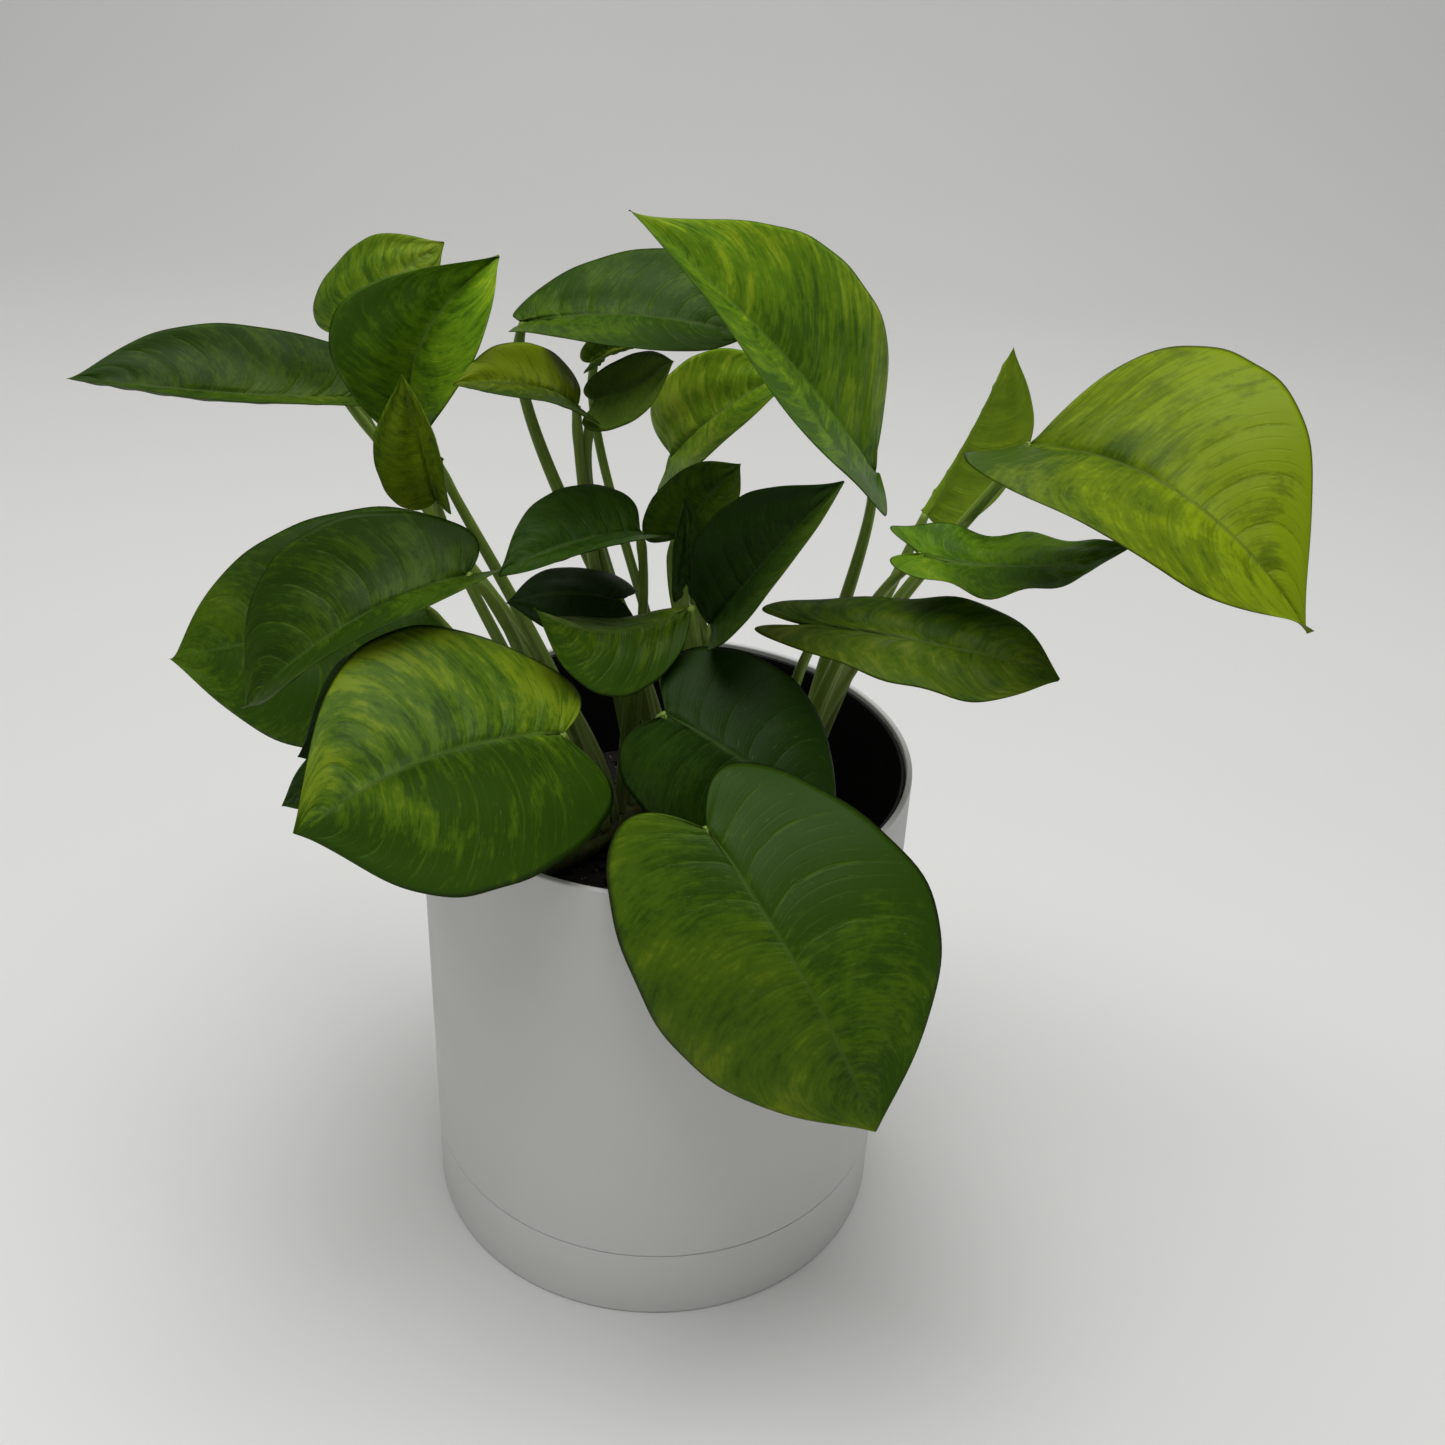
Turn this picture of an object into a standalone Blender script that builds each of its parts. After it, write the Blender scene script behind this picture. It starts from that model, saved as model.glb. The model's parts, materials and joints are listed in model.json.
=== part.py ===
"""Potted pothos: a white cylinder pot on a flush saucer, a black grow pot inside it,
soil, two creeping stems, and heart-shaped leaves that each stand on a stalk of their own.

Run with: blender --background --python part.py
World frame: metres, +Z up, origin at the middle of the surface that the pot stands on.
The front of the plant faces -Y.
"""
from collections import namedtuple
from math import pi

import bmesh
import bpy
import numpy as np

MM = 0.001
MERGE = 1e-6         # points closer than this are one point, m
FIT = 0.3            # clearance between two neighbouring pieces, mm

# ---------------------------------------------------------------- holder sizes, mm
POT_RADIUS = 75.0
POT_HEIGHT = 165.0
POT_WALL = 1.8
POT_FLOOR = 2.4
DRAIN_RADIUS = 8.0
SAUCER_HEIGHT = 26.0
SAUCER_WALL = 2.0
SAUCER_EDGE = 1.0        # slope at the foot of its wall, inside and out
SPIGOT_DEPTH = 7.0
SPIGOT_WALL = 2.0
RIM_ROUND = 0.6
GROW_WALL = 1.2
GROW_TOP_DROP = 1.5      # how far the grow pot's lip sits below the pot's rim
GROW_BOTTOM_RADIUS = 60.0
GROW_LIP_HEIGHT = 9.0
GROW_LIP_STEP = 1.2
SOIL_DROP = 40.0         # headroom from the pot's rim down to the soil
SOIL_LUMP = 1.2          # height of the soil's lumps
SOIL_RINGS = 6
ROUND_STEPS = 56

# ---------------------------------------------------------------- plant sizes, mm
TABLE_RADIUS = 75.0      # the pot radius that the leaf and vine places below are given for
LEAF_THICK = 0.6
LEAF_ROWS = 10
LEAF_SIDE_COLUMNS = 2
LEAF_FULLNESS = 0.75     # below 1 the heart shape is fuller at both ends
TIP_POINT = 0.75         # how much the tip is drawn out
STALK_STEPS = 9
STALK_BEVEL = 1          # bevel resolution of a stalk's round section
STALK_END_RADIUS = 1.0
STALK_RISE = 0.9         # how strongly a stalk starts upwards, as a share of its span
STALK_ARRIVE = 0.7       # how strongly it runs on along the blade, as a share of its span
STALK_LEAN = 3.0         # pull of a stalk's lean on its start
STALK_SHORT = 0.3        # a stalk stops this far before the blade's base, mm
STALK_GAP = 0.45         # clearance between a stalk's end and its blade, mm
STALK_TAPER = 0.8        # below 1 a stalk keeps its width for longer
VINE_RADIUS = 4.0
VINE_STEPS = 28
VINE_BEVEL = 2
VINE_BEND = 1.5          # side-to-side wander of a vine, mm
VINE_WANDER = 0.7        # how far that wander turns from one slot to the next, radians
VINE_NODE = 0.3          # how much thinner a vine is between two stalks, mm
VINE_END = 0.55          # a vine's end radius as a share of its full radius
FACE_DOWN = -0.5         # a blade whose face points down this much hangs below its stalk

# ---------------------------------------------------------------- heights that follow
POT_SEAT = SAUCER_HEIGHT + FIT
GROW_BOTTOM = POT_SEAT + POT_FLOOR + FIT
GROW_TOP = POT_HEIGHT - GROW_TOP_DROP
GROW_RADIUS = POT_RADIUS - POT_WALL - FIT
SOIL_TOP = POT_HEIGHT - SOIL_DROP
VINE_HEIGHT = SOIL_TOP + SOIL_LUMP + FIT + VINE_RADIUS
SPREAD = POT_RADIUS / TABLE_RADIUS

# A leaf blade. base and tip are the two ends of its midrib, measured from the middle of the
# pot's mouth, and face is the direction its upper side looks in. arch is the midrib's rise
# towards that side and sway its bow to the left. fold and curl are the (left, right) halves'
# angles in degrees, up positive, at the midrib and on the way out to the margin. left is the
# left hand of someone who stands on the upper side and looks from base to tip. bulge is how
# far along its margin the blade is widest, lobe how far its base lobes swing back, and hook
# a late rise just before the tip.
Leaf = namedtuple(
    "Leaf", "base tip face width arch sway fold curl bulge lobe hook twist wave",
    defaults=(5.0, 0.0, (0.0, 0.0), (-10.0, -10.0), 0.55, 0.9, 0.0, 0.0, 0.0))

LEAVES = {
    "front_right": Leaf(
        base=(14, -73, 21), tip=(62, -110, -46), face=(0.0, -0.83, 0.55),
        width=85, arch=8, sway=3, fold=(-8, -8), curl=(-15, -15), bulge=0.6),
    "front_left": Leaf(
        base=(-25, -60, 40), tip=(-85, -100, 32), face=(0.0, -0.8, 0.6),
        width=76, arch=8, sway=-5, fold=(-5, -5), curl=(-15, -15), bulge=0.6, lobe=0.9),
    "front_middle": Leaf(
        base=(1, -44, 38), tip=(50, -54, 10), face=(-0.1, -0.65, 0.75),
        width=60, arch=6, fold=(-8, -25)),
    "low_left_wet": Leaf(
        base=(-76, 20, 34), tip=(-153, 10, 17), face=(0.0, -0.7, 0.7),
        width=78, arch=8, sway=3, curl=(-15, -15), bulge=0.5),
    "left_over": Leaf(
        base=(-54, -28, 69), tip=(-112, -48, 35), face=(0.0, -0.4, 0.9),
        width=56, arch=8, fold=(32, 15), curl=(20, 20), bulge=0.6, lobe=0.7),
    "left_under": Leaf(
        base=(-50, -27, 38), tip=(-100, -45, 19), face=(0.0, -0.5, 0.87),
        width=46, arch=6, bulge=0.6, lobe=0.5),
    "left_torn": Leaf(
        base=(-79, -30, 15), tip=(-111, -30, -8), face=(0.0, -0.6, 0.8),
        width=20, arch=3),
    "right_lime": Leaf(
        base=(94, -10, 107), tip=(160, -60, 80), face=(-0.1, -0.75, 0.65),
        width=84, arch=12, sway=7, fold=(5, 34), curl=(-15, 20), bulge=0.43, lobe=0.3),
    "right_upright": Leaf(
        base=(73, 20, 73), tip=(90, 10, 127), face=(0.5, 0.8, -0.2),
        width=34, arch=3, fold=(30, 80), lobe=0.5),
    "right_wavy": Leaf(
        base=(69, -13, 75), tip=(124, -23, 86), face=(0.0, -0.35, 0.94),
        width=32, arch=-7, fold=(-10, 12), curl=(5, 10), wave=2),
    "right_low": Leaf(
        base=(43, -24, 57), tip=(105, -43, 54), face=(0.0, -0.3, 0.95),
        width=42, arch=2, fold=(5, 5), hook=17, bulge=0.72, wave=1, lobe=1.3),
    "centre_dark": Leaf(
        base=(12, -21, 54), tip=(44, -35, 104), face=(-0.1, -0.85, 0.5),
        width=39, arch=5, fold=(0, 65), lobe=0.3, bulge=0.5),
    "centre_folded": Leaf(
        base=(4, -8, 59), tip=(3, -6, 85), face=(0.3, -0.9, 0.2),
        width=13, arch=2, fold=(30, 30), curl=(10, 10)),
    "centre_cupped": Leaf(
        base=(0, 3, 68), tip=(18, 9, 90), face=(0.0, -0.7, 0.7),
        width=25, arch=3, fold=(20, 20), curl=(20, 20)),
    "centre_left": Leaf(
        base=(-9, -8, 75), tip=(-44, -38, 74), face=(0.0, -0.45, 0.9),
        width=33, arch=4, fold=(28, 15), curl=(15, 10), bulge=0.5, lobe=0.6),
    "middle_dark": Leaf(
        base=(-14, -10, 55), tip=(-46, -14, 54), face=(0.0, -0.25, 0.97),
        width=27, arch=3, fold=(-20, 0)),
    "middle_edge": Leaf(
        base=(6, -22, 60), tip=(-34, -46, 69), face=(0.0, 0.0, 1.0),
        width=37, arch=-7, fold=(-45, -10), lobe=0.1),
    "top_large": Leaf(
        base=(57, 25, 83), tip=(-13, -12, 163), face=(0.3, -0.75, 0.6),
        width=74, arch=10, sway=2, fold=(40, 0), curl=(10, -10), bulge=0.43, lobe=0.1),
    "top_back": Leaf(
        base=(-44, 17, 125), tip=(18, 11, 126), face=(0.0, -0.5, 0.85),
        width=46, arch=5, fold=(8, 20), curl=(10, 10), bulge=0.68, lobe=0.6),
    "top_yellow": Leaf(
        base=(-27, -1, 108), tip=(-56, -27, 121), face=(0.0, -0.5, 0.85),
        width=27, arch=4, fold=(15, 15), curl=(10, 10), bulge=0.5, lobe=0.6),
    "top_shaded": Leaf(
        base=(-22, 2, 108), tip=(-1, -8, 124), face=(0.5, 0.5, -0.6),
        width=22, arch=2),
    "top_curled": Leaf(
        base=(-26, 30, 110), tip=(-13, 30, 116), face=(0.0, -0.5, 0.8),
        width=12, arch=2, fold=(30, 30), curl=(30, 30)),
    "upper_left": Leaf(
        base=(-70, 20, 81), tip=(-49, 9, 145), face=(0.3, -0.9, 0.3),
        width=60, arch=8, sway=15, fold=(20, 65), curl=(0, 10), bulge=0.76, lobe=0.4),
    "upper_left_back": Leaf(
        base=(-102, 48, 108), tip=(-71, 50, 137), face=(0.0, -0.7, 0.7),
        width=40, arch=4, bulge=0.5),
    "far_left": Leaf(
        base=(-95, 18, 100), tip=(-166, 0, 108), face=(0.0, -0.3, 0.95),
        width=42, arch=-1, fold=(25, 25), curl=(15, 15), bulge=0.6),
    "left_rolled": Leaf(
        base=(-66, -5, 80), tip=(-72, -12, 118), face=(0.2, -0.9, 0.3),
        width=28, arch=2, fold=(10, 60), curl=(10, 30), lobe=0.5),
    "centre_pale": Leaf(
        base=(-3, 37, 80), tip=(33, 27, 113), face=(-0.3, -0.7, 0.6),
        width=40, arch=5, fold=(5, 30), curl=(5, 15), bulge=0.5, lobe=0.6),
}


# A stalk: the vine that it grows from, its slot along that vine, its radius at the foot,
# how far it leans out from its foot, and how steeply it still climbs where it meets the leaf.
Stalk = namedtuple("Stalk", "vine slot radius lean climb", defaults=((0.0, 0.0), 0.6))

STALKS = {
    "left_torn": Stalk("left", 0, 1.5, (-10, -4)),
    "left_under": Stalk("left", 1, 1.7, (-10, -4)),
    "front_left": Stalk("left", 2, 2.0),
    "left_over": Stalk("left", 3, 2.0, (4, 6), 0.3),
    "low_left_wet": Stalk("left", 4, 2.0),
    "left_rolled": Stalk("left", 5, 1.9),
    "far_left": Stalk("left", 6, 1.9),
    "upper_left": Stalk("left", 7, 2.3),
    "upper_left_back": Stalk("left", 8, 1.7),
    "middle_dark": Stalk("left", 9, 1.6),
    "centre_left": Stalk("left", 10, 1.6),
    "top_yellow": Stalk("left", 11, 1.9, (-8, -2), 1.5),
    "top_shaded": Stalk("left", 12, 2.3, (4, 2), 1.5),
    "top_back": Stalk("left", 13, 2.4),
    "top_curled": Stalk("left", 14, 1.5),
    "front_right": Stalk("right", 0, 2.0, (6, -16), 1.0),
    "front_middle": Stalk("right", 1, 1.8),
    "middle_edge": Stalk("right", 2, 1.7, (-3, 4), 4.0),
    "centre_dark": Stalk("right", 3, 2.0, (2, 4), 4.0),
    "centre_folded": Stalk("right", 4, 1.5),
    "centre_cupped": Stalk("right", 5, 1.6),
    "centre_pale": Stalk("right", 6, 1.8),
    "right_low": Stalk("right", 7, 2.2),
    "right_wavy": Stalk("right", 8, 2.5, (5, 7)),
    "right_lime": Stalk("right", 9, 2.5, (2, 20)),
    "right_upright": Stalk("right", 10, 2.4, (6, 14)),
    "top_large": Stalk("right", 11, 2.5, (-4, 14)),
}

BLADE_TINTS = {
    "green": (0.09, 0.20, 0.02),
    "dark": (0.04, 0.11, 0.02),
    "pale": (0.20, 0.32, 0.05),
    "lime": (0.42, 0.52, 0.04),
}
BLADES_BY_TINT = {       # every blade that isn't listed here is green
    "dark": ["left_under", "left_torn", "front_middle", "middle_dark", "centre_left",
             "centre_dark", "centre_folded"],
    "pale": ["right_low", "middle_edge", "upper_left_back", "centre_pale", "top_curled"],
    "lime": ["right_lime", "right_upright", "top_yellow", "left_rolled"],
}

VINE_SLOT = 5.6          # spacing of the stalks along a vine
VINE_MARGIN = 5.0        # bare length past the first and the last stalk
VINES = {                # where each vine starts on the soil, and the way it creeps
    "left": ((-44, -30), (0.58, 0.81)),
    "right": ((8, -38), (0.58, 0.81)),
}


def unit(vector):
    return vector / np.linalg.norm(vector)


def blade_frame(leaf):
    """The blade's base point, its axis, its left-hand and upper directions, its length.

    The base moves out with the pot's wall and up with its rim, and the blade goes with it.
    """
    base = np.array(leaf.base, float)
    axis = np.array(leaf.tip, float) - base
    base[:2] *= SPREAD
    base[2] += POT_HEIGHT
    length = np.linalg.norm(axis)
    axis /= length
    face = np.array(leaf.face, float)
    upper = unit(face - face.dot(axis) * axis)
    return base, axis, np.cross(upper, axis), upper, length


def bend_blade(leaf, along, across):
    """Bends flat blade points into the leaf's real shape.

    along runs 0 to 1 from base to tip, across is in mm, left positive. The midrib is a
    parabola, and each half swings about it through its fold and its curl.
    """
    base, axis, left, upper, length = blade_frame(leaf)
    hump = 4 * along * (1 - along)
    rise = leaf.arch * hump + leaf.hook * along**3 * (1 - along)
    slope = (4 * leaf.arch * (1 - 2 * along) + leaf.hook * (3 * along**2 - 4 * along**3)) / length
    lean = np.arctan(slope)[..., None]
    normal = np.cos(lean) * upper - np.sin(lean) * axis
    turn = np.radians(leaf.twist * along)[..., None]
    side_way = np.cos(turn) * left + np.sin(turn) * normal
    normal = np.cos(turn) * normal - np.sin(turn) * left
    reach = np.abs(across)
    share = reach / (leaf.width / 2)
    is_left = across > 0
    fold = np.where(is_left, leaf.fold[0], leaf.fold[1])
    curl = np.where(is_left, leaf.curl[0], leaf.curl[1])
    swing = np.radians(fold + curl * share / 2)
    lift = reach * np.sin(swing) + leaf.wave * share**2 * np.sin(5 * pi * along)
    spine = base + (along * length)[..., None] * axis + rise[..., None] * upper
    spine = spine + (leaf.sway * hump)[..., None] * left
    spread = (np.sign(across) * reach * np.cos(swing))[..., None] * side_way
    return spine + spread + lift[..., None] * normal, normal


def blade_grid(leaf, rows, side_columns):
    """Flat heart shape: margins from the base notch to the tip, joined across the midrib."""
    run = np.linspace(0, 1, rows + 1)[1:-1, None]
    share = np.linspace(-1, 1, 2 * side_columns + 1)[None, :]
    margin_along = run - leaf.lobe * np.sin(pi * run) * (1 - run) ** 2
    skewed = run ** (np.log(0.5) / np.log(leaf.bulge))
    margin_across = leaf.width / 2 * np.sin(pi * skewed) ** LEAF_FULLNESS * (1 - TIP_POINT * run**6)
    along = run + np.abs(share) * (margin_along - run)
    across = share * margin_across
    return along, across


def blade_mesh(leaf):
    """Closed thin solid of the blade: an upper and a lower skin with a rim between them."""
    along, across = blade_grid(leaf, LEAF_ROWS, LEAF_SIDE_COLUMNS)
    rows, columns = along.shape
    flat_along = np.concatenate([[0.0], along.ravel(), [1.0]])
    flat_across = np.concatenate([[0.0], across.ravel(), [0.0]])
    points, _ = bend_blade(leaf, flat_along, flat_across)
    faces = skin_faces(rows, columns)
    normals = point_normals(points, faces)
    upper = points + normals * LEAF_THICK / 2
    lower = points - normals * LEAF_THICK / 2
    count = len(points)
    first, last = 0, count - 1
    right_edge = [first] + [1 + row * columns for row in range(rows)] + [last]
    left_edge = [columns + row * columns for row in range(rows)]
    loop = right_edge + left_edge[::-1]
    rim = []
    for here, there in zip(loop, loop[1:] + loop[:1]):
        rim.append((here, there, there + count))
        rim.append((here, there + count, here + count))
    under = [tuple(index + count for index in face[::-1]) for face in faces]
    return np.vstack([upper, lower]), faces + under + rim


def skin_faces(rows, columns):
    """Triangles of one skin: a fan at the base, a strip of squares, a fan at the tip."""
    faces = []
    last = rows * columns + 1
    for column in range(columns - 1):
        faces.append((0, 2 + column, 1 + column))
        end = 1 + (rows - 1) * columns + column
        faces.append((last, end, end + 1))
    for row in range(rows - 1):
        for column in range(columns - 1):
            a = 1 + row * columns + column
            b = a + columns
            faces.append((a, a + 1, b + 1))
            faces.append((a, b + 1, b))
    return faces


def point_normals(points, faces):
    """Area-weighted normal at every point of a triangle skin."""
    corners = points[np.array(faces)]
    weights = np.cross(corners[:, 1] - corners[:, 0], corners[:, 2] - corners[:, 0])
    normals = np.zeros_like(points)
    for corner in range(3):
        np.add.at(normals, np.array(faces)[:, corner], weights)
    return normals / np.linalg.norm(normals, axis=1)[:, None]


def vine_point(vine, slot):
    """Place of a slot on the vine's axis. The vine bends a little from side to side."""
    start, way = VINES[vine]
    way = unit(np.array(way, float))
    aside = np.array([-way[1], way[0]])
    place = np.array(start) + way * VINE_SLOT * slot + aside * VINE_BEND * np.sin(VINE_WANDER * slot)
    return np.array([*(place * SPREAD), VINE_HEIGHT])


def vine_last_slot(vine):
    return max(stalk.slot for stalk in STALKS.values() if stalk.vine == vine)


def vine_route(vine):
    """Points and radii of a vine, with a slight swelling under each stalk."""
    overrun = VINE_MARGIN / VINE_SLOT
    last = vine_last_slot(vine)
    slots = np.linspace(-overrun, last + overrun, VINE_STEPS + 1)
    points = np.array([vine_point(vine, slot) for slot in slots])
    ends = np.clip(np.minimum(slots + overrun, last + overrun - slots) / overrun, 0, 1)
    radii = VINE_RADIUS * (VINE_END + (1 - VINE_END) * np.sqrt(ends))
    radii = radii - VINE_NODE * np.sin(pi * slots) ** 2
    return points, radii


def stalk_route(name):
    """Points and radii of a stalk: a smooth sweep from its foot to just under the blade."""
    stalk = STALKS[name]
    leaf = LEAVES[name]
    base, axis, left, upper, length = blade_frame(leaf)
    onward = unit(axis + 4 * leaf.arch / length * upper + 4 * leaf.sway / length * left)
    outward = unit(upper - upper.dot(onward) * onward)
    below = outward if leaf.face[2] < FACE_DOWN else -outward
    onto = unit(onward + max(outward[2], 0.0) * outward + np.array([0.0, 0.0, stalk.climb]))
    reach = STALK_END_RADIUS * np.sqrt(1 - onto.dot(below) ** 2)
    end = base + below * (LEAF_THICK / 2 + STALK_GAP + reach) - onward * STALK_SHORT
    foot = vine_point(stalk.vine, stalk.slot)
    foot[2] += VINE_RADIUS + FIT
    span = np.linalg.norm(end - foot)
    leave = np.array([*stalk.lean, 0.0]) * STALK_LEAN + np.array([0.0, 0.0, STALK_RISE * span])
    foot[2] += stalk.radius * np.linalg.norm(unit(leave)[:2])
    arrive = onto * STALK_ARRIVE * span
    run = np.linspace(0, 1, STALK_STEPS + 1)[:, None]
    points = ((2 * run**3 - 3 * run**2 + 1) * foot + (run**3 - 2 * run**2 + run) * leave
              + (3 * run**2 - 2 * run**3) * end + (run**3 - run**2) * arrive)
    radii = STALK_END_RADIUS + (stalk.radius - STALK_END_RADIUS) * (1 - run[:, 0]) ** STALK_TAPER
    return points, radii


# ==== Blender from here on

def clear_scene():
    for item in list(bpy.data.objects):
        bpy.data.objects.remove(item, do_unlink=True)


def material(name, colour, roughness, metallic=0.0):
    made = bpy.data.materials.new(name)
    made.use_nodes = True
    shader = made.node_tree.nodes["Principled BSDF"]
    shader.inputs["Base Color"].default_value = (*colour, 1.0)
    shader.inputs["Roughness"].default_value = roughness
    shader.inputs["Metallic"].default_value = metallic
    return made


def add_object(name, data, skin, smooth=True):
    """Puts the data in the scene as one named part under the stand empty."""
    item = bpy.data.objects.new(name, data)
    data.materials.append(skin)
    bpy.context.scene.collection.objects.link(item)
    item.parent = stand
    if smooth and item.type == "MESH":
        for face in data.polygons:
            face.use_smooth = True
    return item


def mesh_from(name, points, faces):
    """A mesh from points in mm."""
    mesh = bpy.data.meshes.new(name)
    mesh.from_pydata((np.asarray(points) * MM).tolist(), [], faces)
    mesh.update()
    return mesh


def lathe(name, outline, skin):
    """Spins an outline of (radius, height) points in mm about the pot's axis.

    An outline that ends on the axis is left open there, and any other is a closed ring.
    """
    build = bmesh.new()
    ring = [build.verts.new((radius * MM, 0.0, height * MM)) for radius, height in outline]
    pairs = list(zip(ring, ring[1:]))
    if outline[-1][0] > 0:
        pairs.append((ring[-1], ring[0]))
    edges = [build.edges.new(pair) for pair in pairs]
    bmesh.ops.spin(build, geom=ring + edges, cent=(0, 0, 0), axis=(0, 0, 1),
                   angle=2 * pi, steps=ROUND_STEPS, use_merge=True)
    bmesh.ops.remove_doubles(build, verts=build.verts, dist=MERGE)
    bmesh.ops.recalc_face_normals(build, faces=build.faces)
    mesh = bpy.data.meshes.new(name)
    build.to_mesh(mesh)
    build.free()
    return add_object(name, mesh, skin)


def tube(name, points, radii, bevel_resolution, skin):
    """A round stem along the points, in mm, as a bevelled curve with filled ends."""
    curve = bpy.data.curves.new(name, "CURVE")
    curve.dimensions = "3D"
    curve.bevel_depth = MM
    curve.bevel_resolution = bevel_resolution
    curve.use_fill_caps = True
    spline = curve.splines.new("POLY")
    spline.points.add(len(points) - 1)
    for knot, place, radius in zip(spline.points, points, radii):
        knot.co = (*(place * MM), 1.0)
        knot.radius = radius
    spline.use_smooth = True
    return add_object(name, curve, skin, smooth=False)


def make_saucer(skin):
    """The flush dish under the pot: a floor and a wall that the pot's foot drops into."""
    inner = POT_RADIUS - SAUCER_WALL
    lathe("saucer", [
        (0.0, 0.0),
        (POT_RADIUS - SAUCER_EDGE, 0.0),
        (POT_RADIUS, SAUCER_EDGE),
        (POT_RADIUS, SAUCER_HEIGHT),
        (inner, SAUCER_HEIGHT),
        (inner, SAUCER_WALL + SAUCER_EDGE),
        (inner - SAUCER_EDGE, SAUCER_WALL),
        (0.0, SAUCER_WALL),
    ], skin)


def make_pot(skin):
    """The white sleeve: a straight wall, a floor with a drain hole, and a foot ring."""
    inner = POT_RADIUS - POT_WALL
    foot = POT_RADIUS - SAUCER_WALL - FIT
    floor = POT_SEAT + POT_FLOOR
    lathe("pot", [
        (DRAIN_RADIUS, POT_SEAT),
        (foot - SPIGOT_WALL, POT_SEAT),
        (foot - SPIGOT_WALL, POT_SEAT - SPIGOT_DEPTH),
        (foot, POT_SEAT - SPIGOT_DEPTH),
        (foot, POT_SEAT),
        (POT_RADIUS, POT_SEAT),
        (POT_RADIUS, POT_HEIGHT - RIM_ROUND),
        (POT_RADIUS - RIM_ROUND, POT_HEIGHT),
        (inner + RIM_ROUND / 2, POT_HEIGHT),
        (inner, POT_HEIGHT - RIM_ROUND),
        (inner, floor),
        (DRAIN_RADIUS, floor),
    ], skin)


def grow_inner_radius(height):
    """Inside radius of the tapered grow pot at a height, below its lip."""
    share = (height - GROW_BOTTOM) / (GROW_TOP - GROW_LIP_HEIGHT - GROW_BOTTOM)
    top = GROW_RADIUS - GROW_LIP_STEP
    return GROW_BOTTOM_RADIUS + (top - GROW_BOTTOM_RADIUS) * share - GROW_WALL


def make_grow_pot(skin):
    """The black nursery pot: a tapered wall with a stepped lip and a drain hole."""
    lip_foot = GROW_TOP - GROW_LIP_HEIGHT
    shoulder = grow_inner_radius(lip_foot)
    lathe("grow_pot", [
        (DRAIN_RADIUS, GROW_BOTTOM),
        (GROW_BOTTOM_RADIUS, GROW_BOTTOM),
        (shoulder + GROW_WALL, lip_foot),
        (GROW_RADIUS, lip_foot),
        (GROW_RADIUS, GROW_TOP),
        (GROW_RADIUS - GROW_WALL, GROW_TOP),
        (shoulder, lip_foot - GROW_WALL),
        (grow_inner_radius(GROW_BOTTOM + GROW_WALL), GROW_BOTTOM + GROW_WALL),
        (DRAIN_RADIUS, GROW_BOTTOM + GROW_WALL),
    ], skin)


def make_soil(skin):
    """The root ball: a tapered plug whose top is lumpy."""
    low = GROW_BOTTOM + GROW_WALL + FIT
    steps = ROUND_STEPS
    rings = SOIL_RINGS
    turn = np.linspace(0, 2 * pi, steps, endpoint=False)
    points = [(0.0, 0.0, SOIL_TOP)]
    for ring in range(1, rings + 1):
        radius = (grow_inner_radius(SOIL_TOP) - FIT) * ring / rings
        lump = SOIL_LUMP * np.sin(5 * turn + ring) * np.sin(3 * turn - 2 * ring) * (ring < rings)
        for angle, rise in zip(turn, lump):
            points.append((radius * np.cos(angle), radius * np.sin(angle), SOIL_TOP + rise))
    bottom = grow_inner_radius(low) - FIT
    for angle in turn:
        points.append((bottom * np.cos(angle), bottom * np.sin(angle), low))
    points.append((0.0, 0.0, low))
    faces = []
    for step in range(steps):
        after = (step + 1) % steps
        faces.append((0, 1 + step, 1 + after))
        for ring in range(rings):
            here = 1 + ring * steps
            faces.append((here + step, here + steps + step, here + steps + after))
            faces.append((here + step, here + steps + after, here + after))
        under = 1 + rings * steps
        faces.append((under + after, under + step, len(points) - 1))
    add_object("soil", mesh_from("soil", points, faces), skin)


def blade_tint(name):
    for tint, blades in BLADES_BY_TINT.items():
        if name in blades:
            return BLADE_TINTS[tint]
    return BLADE_TINTS["green"]


def make_plant():
    for vine in VINES:
        points, radii = vine_route(vine)
        skin = material("vine_" + vine, (0.16, 0.22, 0.07), 0.6)
        tube("vine_" + vine, points, radii, VINE_BEVEL, skin)
    for name, leaf in LEAVES.items():
        points, radii = stalk_route(name)
        skin = material("stalk_" + name, (0.22, 0.33, 0.08), 0.5)
        tube("stalk_" + name, points, radii, STALK_BEVEL, skin)
        blade, faces = blade_mesh(leaf)
        skin = material("leaf_" + name, blade_tint(name), 0.4)
        add_object("leaf_" + name, mesh_from("leaf_" + name, blade, faces), skin)


clear_scene()
stand = bpy.data.objects.new("stand", None)
bpy.context.scene.collection.objects.link(stand)
make_saucer(material("saucer_white", (0.78, 0.78, 0.79), 0.45))
make_pot(material("pot_white", (0.80, 0.80, 0.81), 0.45))
make_grow_pot(material("grow_pot_black", (0.015, 0.015, 0.016), 0.5))
make_soil(material("soil_dark", (0.03, 0.02, 0.014), 0.95))
make_plant()
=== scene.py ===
"""Potted pothos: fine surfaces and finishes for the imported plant, its pot and its stage.

The script is laid out as a Blender add-on with a sidebar panel and is run as a script. Every
piece is a surface worked out over two parameters with numpy. Lengths in the leaf and stalk
tables are in mm, as a grower would measure them, and everything else is in metres.
"""
import json
from collections import namedtuple
from math import pi

import bpy
import numpy as np
from bpy.props import FloatProperty, FloatVectorProperty, IntProperty, PointerProperty
from mathutils import Matrix, Vector

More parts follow.
